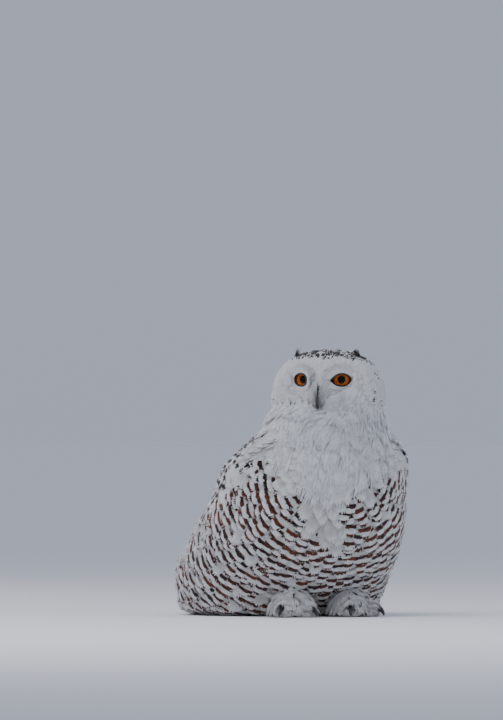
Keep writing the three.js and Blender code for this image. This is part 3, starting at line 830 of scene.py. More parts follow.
view_right = np.array([*rotated(1.0, 0.0, VIEW_AZIMUTH), 0])
view_back = np.array([*rotated(0.0, -1.0, VIEW_AZIMUTH), 0])
aim = SHIFT + view_right * AIM_SIDE + [0, 0, AIM_HEIGHT]
lens = bpy.data.cameras.new("long_lens")
lens.sensor_width, lens.lens, lens.clip_end = 36, 36 * VIEW_DISTANCE / FRAME_TALL, 200
stand = aim + view_back * VIEW_DISTANCE + [0, 0, VIEW_HEIGHT - AIM_HEIGHT]
bpy.context.scene.camera = aimed("camera", lens, stand, aim)

world = bpy.data.worlds.new("soft_sky")
bpy.context.scene.world = world
world.use_nodes = True
add = partial(add_node, world.node_tree)
_, _, climb = add("SeparateXYZ", (add("TexCoord", (), "Generated"),), None)
lighter = add("MapRange", {"Value": climb, "To Min": 0.72, "To Max": 0.72 * 1.24})
backdrop = world.node_tree.nodes["Background"].inputs
backdrop["Color"].default_value = srgb("#c6cee0")
world.node_tree.links.new(lighter, backdrop["Strength"])

for name, azimuth, elevation, distance, size, watts, tint in (
    ("key_softbox", -60, 48, 2.4, 1.8, 34, "#f6f8ff"),
    ("fill_softbox", 40, 20, 3.0, 2.4, 18, "#f2f5ff"),
    ("evening_rim", -150, 22, 2.6, 1.6, 12, "#ffd9dc"),
):
    softbox = bpy.data.lights.new(name, "AREA")
    softbox.size, softbox.energy, softbox.color = size, watts, srgb(tint)[:3]
    a, e = np.radians(azimuth), np.radians(elevation)
    at = SHIFT + distance * np.array([np.sin(a) * np.cos(e), -np.cos(a) * np.cos(e), np.sin(e)])
    aimed(name, softbox, at + [0, 0, 0.15], SHIFT + [0, 0, 0.18])

FLOOR = 60.0  # metres from the bird to the floor's edge
floor_mesh = bpy.data.meshes.new("floor")
corners = [(x * FLOOR, y * FLOOR, 0) for x, y in ((-1, -1), (1, -1), (1, 1), (-1, 1))]
floor_mesh.from_pydata(corners, [], [(0, 1, 2, 3)])
floor = in_scene("floor", floor_mesh)
paper, shader, _ = fresh("matt_backdrop_paper", Roughness=0.9)
shader.inputs["Base Color"].default_value = srgb("#f0f0f0")
floor_mesh.materials.append(paper)

# ---------- skin ----------

COAT_TRUNK, COAT_HEAD, COAT_FOOT = 5.5, 4.0, 3.0  # mm that the skin lies inside the feathers' tips
SOCKET = 11.0  # mm that it lies deeper behind an eyeball's front


def form_rings(form, columns, rows):
    """A form sampled into rings from pole to pole, turned to face outwards."""
    a, t = np.meshgrid(np.linspace(-180, 180, columns, endpoint=False), np.linspace(0, 1, rows))
    points, faces = closed_form(form(sphere_point(a, t)))
    return points, outward(points, faces)


def toe_ways(side, toe):
    """The unit directions along a toe and across it, over the ground."""
    a = np.radians(side * (FOOT_SPLAY + TOES[toe][0]))
    return np.array([np.sin(a), -np.cos(a), 0.0]), np.array([np.cos(a), np.sin(a), 0.0])


def ankle_of(side):
    """The ankle's place over the ground."""
    return np.array([side * FOOT_SIDE, FOOT_BACK, 0.0])


def toe_form(side, toe, out=0.0):
    """One feathered toe: a rounded ridge along the toe's way, lower and slimmer at its end. The poles of the
    sphere of directions are its two ends."""
    ahead, across = toe_ways(side, toe)
    reach = TOES[toe][1] + TOE_WIDTH * 0.5 + out

    def form(d):
        share = (1 - d[..., 2:]) / 2
        ring = np.clip(1 - d[..., 2:] ** 2, 1e-6, 1) ** 0.3
        flat = unit(d * [1, 1, 1e-9])
        height = TOE_HEIGHT * (1 - 0.38 * share) + out
        width = TOE_WIDTH * (1.05 - 0.19 * share) + out
        up = height * (0.36 + 0.58 * ring * -flat[..., 1:2])
        level = ankle_of(side) + ahead * reach * (share * 1.25 - 0.25) + across * width * ring * flat[..., :1]
        return level + up * UP

    return form


def ball_form(centre, half, out=0.0):
    """An ellipsoid."""
    return lambda d: np.array(centre) + d * (np.array(half) + out)


EYES = {side: np.array([side * EYE_SIDE, -EYE_FORWARD, EYE_HEIGHT], float) for side in (1, -1)}


def eye_frame(own, side):
    """Head-own points in an eye's frame: to its outer side, backwards and up from its centre."""
    x, y, z = np.moveaxis(own - EYES[side], -1, 0)
    x, y = rotated(x, y, -side * EYE_OUTWARD)
    return np.stack([x * side, y, z], -1)


def at_eye(v, side):
    """From an eye's own frame to the layout."""
    x, y, z = np.moveaxis(v * [side, 1, 1], -1, 0)
    return head_turn(np.stack([*rotated(x, y, side * EYE_OUTWARD), z], -1) + EYES[side])


def from_eye(own):
    """How many times the lids' opening each point is away from the nearest eye, and that eye's side."""
    side = np.where(own[..., 0] > 0, 1, -1)
    away = []
    for s in (1, -1):
        e = eye_frame(own, s)
        away.append(np.hypot((e[..., 0] + 0.5) / 15.4, e[..., 2] / 11.6) + 3 * (e[..., 1] > 4))
    return np.where(side > 0, away[0], away[1]), side


def head_skin(d):
    """The head inside its coat, with a socket behind each eyeball's front."""
    own = head_own(d, -COAT_HEAD)
    away, _ = from_eye(own)
    return head_turn(own + np.array([0, SOCKET, 0]) * (1 - ease(0.75, 1.25, away))[..., None])


shapes = [
    form_rings(lambda d: trunk_form(d, -COAT_TRUNK), 96, 80),
    form_rings(head_skin, 144, 96),
    form_rings(lambda d: ruff_form(d, -COAT_TRUNK), 64, 32),
]
for side in (1, -1):
    instep = ankle_of(side) + [0, -4, 4]
    shapes.append(form_rings(ball_form(instep, INSTEP, -COAT_FOOT), 32, 20))
    shapes.append(form_rings(ball_form(ankle_of(side) * [0.96, 1, 1] + [0, 10, 40], [18, 20, 32]), 32, 20))
    shapes += [form_rings(toe_form(side, toe, -COAT_FOOT), 24, 16) for toe in TOES]
skin_points, skin_faces = joined(shapes)
skin_points[:, 2] = np.maximum(skin_points[:, 2], GROUND_GAP)
FLESH = ["head", "neck", "trunk"]
FLESH += [f"{limb}_{side}" for limb in ("wing", "leg", "foot") for side in ("left", "right")]
skin = piece("skin", shape_mesh("skin", skin_points, skin_faces), SKIN, FLESH)
remesh = skin.modifiers.new("one_skin", "REMESH")
remesh.mode, remesh.voxel_size, remesh.use_smooth_shade = "VOXEL", 0.0025, True
skin.modifiers.new("soften", "SMOOTH").iterations = 6

# ---------- laying tracts ----------


def skirt_form(d):
    """The trunk's coat, whose lowest feathers hang to the ground instead of following the trunk
    underneath."""
    angle, down = angles_of(d)
    below = np.clip((down - (1 - TRUNK_END)) / TRUNK_END, 0, 1)
    point = trunk_at(angle, np.minimum(down, 1 - TRUNK_END), -1.5)
    level = point[..., 2] * (1 - below) + 1.0 * below
    middle = np.array([0.0, 173.0, 0.0])
    point = middle + (point - middle) * (1 - 0.16 * below**2)[..., None]
    return np.concatenate([point[..., :2], level[..., None]], -1)


def head_coat(d):
    """The head's coat, a little inside the feathers' tips."""
    return head_form(d, -1.5)


def tract(
    name, form, start, heading, length, width, kind, material,
    dress=PLAIN, lift=0.5, depth=6.0, curl=1.6, stray=0.1, stations=6,
):
    """Feathers with roots at the start directions of a form, lying along its heading: their roots are sunk
    below the form by depth and their tips stand above it by lift."""
    sway = rng.normal(0, stray, len(start))[:, None]

    def swayed(p, n, d):
        """The heading, turned a little on each feather."""
        h = heading(p, n, d)
        return h + np.cross(n, h) * sway

    surface, normals = lay(form, start, swayed, np.broadcast_to(length, len(start)), stations)
    s = np.linspace(0, 1, stations)
    height = -depth * (1 - s) ** 1.4 + np.broadcast_to(lift, len(start))[:, None] * s**curl
    spine = surface + normals * height[..., None]
    grown(name, spine, normals, np.stack(angles_of(start), -1), width, kind, material, dress)


def grown(name, spine, normals, roots, width, kind, material, dress=PLAIN, nodes=()):
    """Coat pieces from spines, cut round the body so that each stays under the limit of triangles."""
    count = len(spine)
    spine[..., 2] = np.maximum(spine[..., 2], 1.2)
    width = np.broadcast_to(width, count)
    dress = np.stack([np.broadcast_to(v, count) for v in dress], -1)
    vane = 8 * spine.shape[1] - 4 if kind["vane"] else 0
    parts = int(np.ceil(count * (vane + kind["locks"] * (6 * kind["lock_stations"] - 4)) / PIECE_LIMIT))
    order = np.argsort(roots[:, 0], kind="stable")
    for k, members in enumerate(np.array_split(order, parts)):
        made = feathers(spine[members], normals[members], width[members], kind)
        part = f"{name}_{k + 1}" if parts > 1 else name
        coat(part, made, roots[members], dress[members], material, nodes)


def spread(form, spacing, keep):
    """Directions about spacing mm apart over a form: a golden-angle spiral, thinned to the form's own
    area."""
    count = int(4 * np.pi * 150**2 / spacing**2)
    k = np.arange(count) + 0.5
    z = 1 - 2 * k / count
    turn = np.pi * (1 + 5**0.5) * k
    d = np.stack([np.sqrt(1 - z**2) * np.cos(turn), np.sqrt(1 - z**2) * np.sin(turn), z], -1)
    p, n, j1, j2, _, _ = footing(form, d)
    area = np.linalg.norm(np.cross(j1, j2), axis=-1)
    chosen = rng.random(count) < area / 150**2
    chosen &= keep(p, n)
    return d[chosen], p[chosen], n[chosen]


# ---------- where the plumage is barred, spotted or white ----------

# height, then the bib's edges as angles from the breast towards the bird's left
BIB = np.array([
    [50, -8, -7], [64, -8, -5], [85, -9, -3], [105, -10, -1], [127, -14, 1], [155, -19, -2], [172, -26, 8],
    [195, -36, 23], [215, -45, 45], [237, -57, 74], [262, -95, 110], [285, -180, 180],
], float)
# angle from the breast, then the height where the spotted mantle and wing give way to the barred flank
FLANK_LINE = np.array([
    [0, 300], [45, 290], [52, 250], [58, 224], [70, 200], [84, 184], [100, 168], [112, 158], [135, 120],
    [160, 80], [180, 40],
], float)
# a clean band across the mantle's spots, as angle and height
WHITE_BAND = np.array([[50, 285], [65, 250], [73, 222], [81, 195], [92, 162]], float)


def bib_share(angle, height):
    """1 well inside the white bib and 0 outside it."""
    left, right = along(BIB, height)
    return ease(-5, 5, np.minimum(angle - left, right - angle)) * (height > 50)


def above_flank(angle, height):
    """How far, in mm of height, a place is above the flank's edge."""
    return height - np.interp(np.abs(angle), *FLANK_LINE.T)


# ---------- breast, belly and flanks ----------

SOURCE_RIGHT, SOURCE_LEFT = 190.0, 222.4  # heights on the breast from which each side's plumage spreads
PARTING = np.array([[0, -6], [50, -7], [85, -6], [127, -6.5], [155, -10], [190, -7], [265, 0]], float)
LEVEL_LEFT = 26.0  # mm on the left of the parting where the rows run level before they curve up


def girth(height):
    """The trunk's mean radius at a height."""
    half, front, back = along(TRUNK_SECTIONS, height)
    return 1.03 * (half + (back - front) / 2) / 2


def breast_chart(angle, height):
    """mm round the trunk from the parting, and mm below the source of that side."""
    round_by = np.radians(angle - np.interp(height, *PARTING.T)) * girth(height)
    source = np.where(round_by > 0, SOURCE_LEFT, SOURCE_RIGHT)
    return np.where(round_by > 0, np.maximum(round_by - LEVEL_LEFT, 0.01), round_by), source - height


def leaning(n, side, lean):
    """The way down a form, leaning round it by an angle: to the bird's left where side isn't negative."""
    round_way = unit(np.cross(np.broadcast_to(UP, n.shape), n)) * np.where(side < 0, -1.0, 1.0)[..., None]
    return round_way * np.sin(lean[..., None]) + unit(-(UP - n * n[..., 2:])) * np.cos(lean[..., None])


def breast_heading(p, n, d):
    """Away from the source line: backwards round the trunk above the source, and fanning out below it."""
    angle, _ = angles_of(d)
    u, v = breast_chart(angle, p[..., 2])
    lean = np.minimum(np.arctan2(np.abs(u), np.maximum(v, 0) + 6), np.radians(80))
    return leaning(n, u, lean * (1 - 0.75 * ease(135, 180, np.abs(angle))))


def breast_roots():
    """Roots in rows round the two sources: a quarter ring below each and straight up beside it, with the
    feathers of one row standing in the gaps of the next."""
    found = []
    for side, source, level in ((-1, SOURCE_RIGHT, 0.0), (1, SOURCE_LEFT, LEVEL_LEFT)):
        for k in range(1, 46):
            reach = k * ROW
            bend = level + reach * np.pi / 2
            s = (np.arange(int((bend + 120) / COLUMN)) + 0.25 + 0.5 * (k % 2)) * COLUMN
            s = s + rng.uniform(-0.26, 0.26, len(s)) * COLUMN
            r = reach + rng.uniform(-0.2, 0.2, len(s)) * ROW
            turn = np.clip((s - level) / reach, 0, np.pi / 2)
            u, v = np.minimum(s, level) + r * np.sin(turn), r * np.cos(turn) - np.maximum(s - bend, 0)
            height = source - v
            angle = np.interp(height, *PARTING.T) + side * np.degrees(u / girth(height))
            found.append(np.stack([angle, height], -1))
    angle, height = np.concatenate(found).T
    keep = (np.abs(angle) < 180) & (height > 6) & (height < 292) & (above_flank(angle, height) < 8)
    return angle[keep], height[keep]


angle, height = breast_roots()
start = sphere_point(angle, down_of(height))
p = trunk_form(start)
keep = beyond(p) > BURIED
angle, height, start = angle[keep], height[keep], start[keep]
tip_drop = 22 * np.cos(np.minimum(np.arctan2(*np.abs(breast_chart(angle, height))), 1.4))
bib = bib_share(angle, height - tip_drop)
size = np.clip(along(TRUNK_SECTIONS, height)[0] / 142, 0.7, 1.0) * rng.uniform(0.88, 1.12, len(angle))
windy = ease(75, 105, -angle) * (1 - ease(150, 185, height))
lift = rng.normal(0.2, 0.5, len(angle)) + 0.6 * bib + windy * rng.uniform(0, 1, len(angle)) ** 3 * 4
barred = rng.random(len(angle)) > bib * 1.2 - 0.1
barred = barred * rng.choice([1.0, 0.6, 0.0], len(angle), p=[0.92, 0.03, 0.05])
tract(
    "plumage_belly", skirt_form, start, breast_heading, 41 * size * (1 + 0.2 * windy), 28 * size,
    CONTOUR, PLUMAGE, (barred, rng.beta(1.6, 1.4, len(angle)), 0.0), lift, depth=4.5,
)

# ---------- mantle and wing coverts ----------

FLOW_LEAN = np.array([[0, 40], [60, 64], [100, 64], [130, 46], [150, 26], [180, 0]], float)
GIRTH = 135.0  # mm of arc for each radian round the trunk where the mantle's rows are laid out


def lean_at(angle):
    """How far the mantle's lie leans from straight down towards the back, in radians."""
    return np.radians(np.interp(np.abs(angle), *FLOW_LEAN.T))


def mantle_heading(p, n, d):
    """Down the back, leaning backwards over the wings."""
    angle, _ = angles_of(d)
    return leaning(n, angle, lean_at(angle))


def mantle_roots(row_spacing, column_spacing, wander=0.14):
    """Roots in rows across the mantle's lie: a row is a line where the way down from the neck plus the
    leaning lie's own rise stays the same."""
    angles, downs = np.linspace(-180, 180, 181), np.linspace(0.02, 0.985, 260)
    a, t = np.meshgrid(angles, downs, indexing="ij")
    steps = np.linalg.norm(np.diff(trunk_at(a, t, wings=0.0), axis=1), axis=-1)
    way = np.concatenate([np.zeros((len(angles), 1)), np.cumsum(steps, axis=1)], axis=1)
    radian, middle = np.radians(angles[1] - angles[0]), len(angles) // 2
    climb = np.cumsum(np.tan(lean_at(angles)) * np.sign(angles)) * GIRTH * radian
    climb = climb - climb[middle]
    chord = np.cumsum(1 / np.cos(lean_at(angles))) * GIRTH * radian
    chord = chord - chord[middle]
    rows = np.arange(0, way.max() + climb.max(), row_spacing)
    columns = np.arange(chord[0], chord[-1], column_spacing)
    row, column = np.meshgrid(np.arange(len(rows)), np.arange(len(columns)), indexing="ij")
    across = columns[column] + (row % 2) * column_spacing / 2
    across = across + rng.uniform(-wander, wander, row.shape) * column_spacing
    angle = np.interp(across, chord, angles)
    want = rows[row] - np.interp(angle, angles, climb) + rng.uniform(-wander, wander, row.shape) * row_spacing
    nearest = np.rint((angle + 180) / (angles[1] - angles[0])).astype(int)
    line, want = way[np.clip(nearest, 0, len(angles) - 1).ravel()], want.reshape(-1, 1)
    i = np.clip(np.sum(line <= want, axis=1, keepdims=True) - 1, 0, len(downs) - 2)
    low, high = (np.take_along_axis(line, k, axis=1) for k in (i, i + 1))
    down = ((downs[i + 1] - downs[i]) / (high - low) * (want - low) + downs[i])[:, 0]
    down[(want < line[:, :1])[:, 0] | (want > line[:, -1:])[:, 0]] = -1
    angle = angle.ravel()
    keep = (down > 0) & (np.abs(angle) < 180)
    return angle[keep], down[keep]


angle, down = mantle_roots(13.5, 17.0, 0.1)
start = sphere_point(angle, down)
p = trunk_form(start)
over = above_flank(angle, p[:, 2])
keep = (over > -6) & (np.abs(angle) > 52) & (beyond(p) > BURIED) & (p[:, 2] < 286)
angle, start, p = angle[keep], start[keep], p[keep]
size = rng.uniform(0.93, 1.07, len(angle))
tip_angle = np.abs(angle) + np.degrees(36 * np.sin(lean_at(angle)) / GIRTH)
tip_height = p[:, 2] - 36 * np.cos(lean_at(angle))
pale = bell((tip_height - np.interp(tip_angle, *WHITE_BAND.T)) / 15) * (tip_angle < 96)
marked = (pale < 0.5) * rng.choice([1.0, 0.0], len(angle), p=[0.88, 0.12])
spotted = 1 - 0.8 * ease(120, 165, np.abs(angle))
tract(
    "plumage_mantle", skirt_form, start, mantle_heading, 44 * size, 28 * size, MANTLE, SPOTTED,
    (marked, rng.beta(1.0, 2.5, len(angle)), spotted), rng.normal(0.5, 0.15, len(angle)),
    depth=4.5,
)

# ---------- throat, bib and nape ----------

CREASE_FROM, CREASE_TO = np.array([-15.6, 295.0]), np.array([35.5, 325.0])  # mm to the viewer's right, height
CREASE_LONG = np.linalg.norm(CREASE_TO - CREASE_FROM)
CREASE = (CREASE_TO - CREASE_FROM) / CREASE_LONG
DOWN_CREASE = -(view_right * CREASE[0] + UP * CREASE[1])
THROAT_HEM = np.array([  # angle from the breast, then the height of the throat's lowest plumes
    [-110, 250], [-80, 262], [-57, 258], [-45, 242], [-36, 226], [-26, 205], [-15, 190], [-4, 190], [8, 205],
    [23, 226], [45, 242], [74, 262], [110, 250],
], float)


def crease_place(p):
    """Shares along the throat's crease, and mm below it."""
    q = np.stack([p @ view_right, p[..., 2]], -1) - CREASE_FROM
    return q @ CREASE / CREASE_LONG, q @ np.array([CREASE[1], -CREASE[0]])


def parting_place(p):
    """mm to the viewer's right of and above the spot where the cheek's plumes part."""
    return p @ view_right - 34, p[..., 2] - 306


def throat_coat(d):
    """The throat's form, a little inside the plumes' tips."""
    return throat_form(d, -2.0)


def throat_heading(p, n, d):
    """Down the throat with the wind from the viewer's right, and along the crease just under it."""
    share, below = crease_place(p)
    ahead = ease(0.0, 0.5, n @ view_back)
    w = np.exp(-np.maximum(below, 0) / 26) * (below > -8) * ease(-0.5, 0.1, share)
    w = (w * (1 - ease(1.1, 1.6, share)) * ahead)[..., None]
    wind = view_right * -0.28 * (ahead * bell((p @ view_right) / 90))[..., None]
    back = np.array([0, 0.35, 0]) * (1 - ahead)[..., None]
    return (wind - UP + back) * (1 - w) + DOWN_CREASE * w


def face_edge(own):
    """How low the face's feathers reach in the head's own frame: lower in front than behind."""
    return -36 + 8 * ease(0, 25, own[..., 1])


def on_throat(p, n):
    """Where the throat's plumes have their roots."""
    own = head_unturn(p)
    angle = np.degrees(np.arctan2(p[..., 0], -(p[..., 1] - 30)))
    face = ((own[..., 1] >= 0) | (clearances(p)[1] < 4.0)) & (own[..., 2] > face_edge(own))
    return ~face & (p[..., 2] > np.interp(angle, *THROAT_HEM.T)) & (p[..., 2] < 335)


start, p, n = spread(throat_coat, 8.2, on_throat)
share, below = crease_place(p)
gap = np.hypot(*parting_place(p)) < 6.5
start, p, n, share, below = start[~gap], p[~gap], n[~gap], share[~gap], below[~gap]
ahead = n @ view_back > 0
near = bell(below / 14) * (below > -4) * (share > -0.1) * (share < 1.3) * ahead
length = (32 + 12 * ahead - 8 * near) * rng.uniform(0.85, 1.15, len(start))
nape = (p[:, 1] > 25) * (p[:, 2] < 300) * rng.choice([0.0, 0.9], len(start), p=[0.6, 0.4])
tract(
    "plumage_bib", throat_coat, start, throat_heading, length, 19 * rng.uniform(0.85, 1.2, len(start)),
    PLUME, WHITE, (nape, 0.3, 1.0), rng.normal(0.8, 0.3, len(start)) + 1.5 * near,
    depth=4.0, stations=7, stray=0.16,
)


def on_chin(p, n):
    """Where small feathers soften the step from the face to the bib: round the face's lower edge, and the
    whole cheek under the crease."""
    own = head_unturn(p)
    share, below = crease_place(p)
    head = clearances(p)[1]
    hem = (own[..., 2] < face_edge(own) + 6) | (head > 0.5)
    cheek = (own[..., 1] < 0) & (below > 1) & (share > -0.1) & (share < 1.25) & (own[..., 2] < 0)
    bill = (np.abs(p @ view_right + 15) < 8) & (p[..., 2] > 291)
    return (hem | cheek) & (head < 9) & ~bill & (own[..., 2] > -66) & (np.hypot(*parting_place(p)) > 3)


start, p, _ = spread(throat_coat, 4.8, on_chin)
# the small feathers round the spot where the plumes part are barred grey: painted shadow of that gap
parting_shadow = 0.6 * bell(np.hypot(*parting_place(p + [0, 0, -8])) / 6)
size = rng.uniform(0.85, 1.15, len(start))
tract(
    "plumage_chin", throat_coat, start, throat_heading, 23 * size, 12 * size, SMALL, WHITE,
    (parting_shadow, 0.5, 0.0), rng.normal(1.5, 0.3, len(start)), depth=2.2, stations=5, stray=0.12,
)


def on_sweep(p, n):
    """A band just under the crease."""
    share, below = crease_place(p)
    return (share > 0.05) & (share < 1.25) & (below > 0.5) & (below < 12) & (n @ view_back > 0.2)


def sweep_heading(p, n, d):
    """Down along the crease, and lower where it has passed the bill."""
    share, _ = crease_place(p)
    return DOWN_CREASE - UP * (0.8 * ease(0.2, -0.5, share))[..., None]


start, p, _ = spread(throat_coat, 3.6, on_sweep)
_, below = crease_place(p)
size = rng.uniform(0.85, 1.15, len(start))
tract(
    "plumage_sweep", throat_coat, start, sweep_heading, 30 * size, 9 * size, PLUME, WHITE,
    lift=1.6 + 2.2 * (1 - below / 12), depth=2.5, stations=7, stray=0.06,
)

# ---------- head ----------

FACE_MIDDLE = np.array([0.0, -59.0, -7.0])


def head_heading(p, n, d):
    """Away from the face's middle, round each eye away from it, and down over the nape."""
    own = head_own(d)
    away = unit(own - FACE_MIDDLE)
    near, side = from_eye(own)
    centre = np.stack([side * (EYE_SIDE + 3.0), 0 * side - 50.0, 0 * side + EYE_HEIGHT], -1)
    round_eye = unit((own - centre) * [1, 0.3, 1])
    w = (0.85 * bell((near - 1) / 0.9))[..., None]
    nape = ease(5, 45, own[..., 1])[..., None]
    return head_swing(away * (1 - w) * (1 - 0.6 * nape) + round_eye * w - UP * nape)


def on_head(p, n):
    """Where the head's small feathers have their roots."""
    own = head_unturn(p)
    away, _ = from_eye(own)
    low = np.where(own[..., 1] < 0, -50.0, -36.0)
    bill = (np.abs(own[..., 0]) < 5) & (own[..., 1] < 0) & (own[..., 2] < 0) & (own[..., 2] > -34)
    share, below = crease_place(p)
    cheek = (own[..., 1] < 0) & (below > 3) & (share > -0.1) & (share < 1.15)
    return (own[..., 2] > low) & (away > 1.0) & ~bill & ~cheek


start, p, _ = spread(head_coat, 3.7, on_head)
own = head_unturn(p)
away, _ = from_eye(own)
to_face = np.linalg.norm(own - FACE_MIDDLE, axis=-1)
length = np.interp(to_face, [0, 25, 55, 80, 120], [10, 12, 16, 18, 18])
length = np.where(own[:, 2] > 34, np.minimum(length, 12), length)
hem = (own[:, 1] < 20) * (1 - ease(-38, -24, own[:, 2])) * (1 - ease(0, 20, own[:, 0]))
length = (np.where(away < 1.6, 8.0, length) + 8 * hem) * rng.uniform(0.85, 1.15, len(start))
crown = ease(29, 34, own[:, 2] + 0.1 * own[:, 1]) + 0.5 * ease(10, 40, own[:, 1]) * ease(-30, 0, own[:, 2])
edge = ease(55, 72, np.abs(own[:, 0])) * (own[:, 2] > -40)
marked = rng.random(len(start)) < 0.74 * np.minimum(crown, 1) + 0.12 * edge + 0.04 * (own[:, 2] > 27)
dress = np.stack([marked, rng.beta(1, 2.5, len(start)), ease(30, 36, own[:, 2])])
face = (own[:, 1] < -8) & (own[:, 2] < 36)
halves = ("plumage_face", "white_plumage", face), ("plumage_crown", "crown_plumage", ~face)
for name, slot, members in halves:
    tract(
        name, head_coat, start[members], head_heading, length[members], (length * 0.72)[members], SMALL,
        CROWN, dress[:, members], rng.normal(0.7, 0.15, members.sum()) + 0.8 * hem[members], depth=2.0,
        stations=5,
    )

# bristles that run down from the lores to the bill and hide all of it but the ridge and the tip
count = 520
side = rng.choice([-1, 1], count)
high = rng.random(count)
x = side * (3.6 + (4 + 15 * high) * rng.random(count) ** 0.8)
z = 14 - 34 * (1 - high) - 0.25 * np.abs(x) + rng.uniform(-3, 3, count)
a, t = np.meshgrid(np.linspace(-60, 60, 181), np.linspace(0.2, 0.85, 181))
grid = sphere_point(a, t).reshape(-1, 3)
flat = head_own(grid, -1.5)
pick = np.argmin((flat[None, :, 0] - x[:, None]) ** 2 + (flat[None, :, 2] - z[:, None]) ** 2, axis=1)
clear = from_eye(flat[pick])[0] > 1.12
pick, side, count = pick[clear], side[clear], int(clear.sum())
start, own = grid[pick], flat[pick]
s = np.linspace(0, 1, 6)[None, :, None]
low = np.clip(-own[:, 2] / 20, 0, 1)
aim_x = side * (rng.uniform(0.3, 1.6, count) + 2.4 * low)
aim_at = np.stack([aim_x, rng.uniform(-71, -68, count), own[:, 2] * 0.5 - 20], -1)
way = unit(aim_at - own)[:, None]
reach = (np.linalg.norm(aim_at - own, axis=-1) * rng.uniform(0.75, 1.05, count))[:, None, None]
bow = rng.uniform(1.5, 3.6, count)[:, None, None]
bulge = np.array([0, -1.0, 0]) * bow * np.sin(s * np.pi * 0.8)
spine_own = own[:, None] + way * reach * s + bulge + [0, 0.8, 0]
spine = head_turn(spine_own)
normals = head_swing(np.broadcast_to(unit(own * [0.5, 1, 0] + [0, -20.0, 0])[:, None], spine_own.shape))
roots = np.stack(angles_of(start), -1)
grown("bill_bristles", spine, normals, roots, 2.8, BRISTLE, BRISTLES)

# ear tufts: two small dark horns of plumes
spines, roots = [], []
for side in (1, -1):
    for k in range(9):
        base = np.array([side * EAR_SIDE, -EAR_FORWARD, EAR_HEIGHT - 12.0])
        base = base + rng.uniform(-1.8, 1.8, 3) * [1, 1, 0.3]
        tip = base + np.array([side * 1.5, 0.5, 20.5]) + rng.uniform(-2.0, 2.0, 3)
        s = np.linspace(0, 1, 5)[:, None]
        spines.append(base + (tip - base) * s + np.array([-side * 2.2, 0, 0]) * s**2)
        roots.append([side * 100 + k, 0.2])
spine = head_turn(np.array(spines))
normals = np.broadcast_to(head_swing(np.array([0.0, -1.0, 0.0])), spine.shape)
tufts = ("ear_tuft_left", "ear_tuft_right")
grown("ear_tufts", spine, normals, np.array(roots, float), 5.0, SMALL, EAR_DARK, nodes=tufts)

# ---------- eyes and lids ----------

LID_HALF, LID_HIGH, LID_OUT, LID_REST = 13.0, 8.4, 4.2, 15.2
# on each side: how far the opening's corner runs on towards the bill, its roundness, and the corner's drop.
# The right eye looks past the raised feathers of the bill's ridge, so its opening ends nearer to the pupil
LID_CORNER = {1: (0.14, 1.04, 1.4), -1: (-0.2, 0.96, 0.0)}
LID_SECTION = np.array([  # mm outwards from the opening's edge, and forwards
    [-0.8, 0.0], [-0.6, 0.8], [0.0, 1.2], [1.0, 1.2], [2.2, 0.8], [4.0, 0.5], [6.5, 0.5], [6.5, -0.7],
    [4.0, -0.7], [2.0, -0.6], [0.6, -0.5], [-0.6, -0.5],
])
FRINGE_ROWS, FRINGE_COUNT = 5, 68


def revolved(profile, columns):
    """A closed surface of revolution about Y from rows of (radius, y), both ends on the axis."""
    turn = np.linspace(0, 2 * np.pi, columns, endpoint=False)
    r, y = profile[:, :1], np.broadcast_to(profile[:, 1:], (len(profile), columns))
    return closed_form(np.stack([r * np.cos(turn), y, r * np.sin(turn)], -1))


def ball_y(r, grow=0.0):
    """Where the eyeball's front lies at a radius."""
    return -(EYE_DEPTH + grow) * np.sqrt(np.clip(1 - (r / (EYE_RADIUS + grow)) ** 2, 0, 1))


def lid_opening(phi, side):
    """The lids' edge round an eye: a low almond with its corner towards the bill, (half width cos phi, half
    height sin phi) with its corner drawn out by |cos phi| cubed. Gives the edge, its unit direction from the
    middle, whether it is on the bill's side, and how near it is to a corner."""
    reach, roundness, drop = LID_CORNER[side]
    nasal, corner = np.cos(phi) < 0, np.abs(np.cos(phi)) ** 3
    x = LID_HALF * np.cos(phi) * np.where(nasal, 1.0 + reach * corner, 1.0)
    z = LID_HIGH * signed_power(np.sin(phi), roundness) - np.where(nasal, drop * corner, 0)
    edge = np.stack([x, z], -1)
    return edge, unit(edge), nasal, corner


r = np.linspace(0, IRIS_EDGE, 15)
swell = 0.25 * np.sin(np.clip(r - PUPIL, 0, 3) / 3 * np.pi)
iris = np.stack([r, -IRIS_FRONT - 0.5 * (r / IRIS_EDGE) ** 2 - swell], -1)
r = np.linspace(LIMBUS, EYE_RADIUS, 8)
white = np.stack([r, ball_y(r)], -1)
a = np.linspace(0, np.pi / 2, 10)[1:]
rear = np.stack([EYE_RADIUS * np.cos(a), EYE_DEPTH * 0.8 * np.sin(a)], -1)
rear[-1, 0] = 0
r = np.linspace(0, LIMBUS - 0.1, 12)
inner = ball_y(r) + 0.7 + 1.0 * (1 - (r / LIMBUS) ** 2)
dome = np.concatenate([np.stack([r, ball_y(r, 0.1)], -1), np.stack([r, inner], -1)[::-1]])

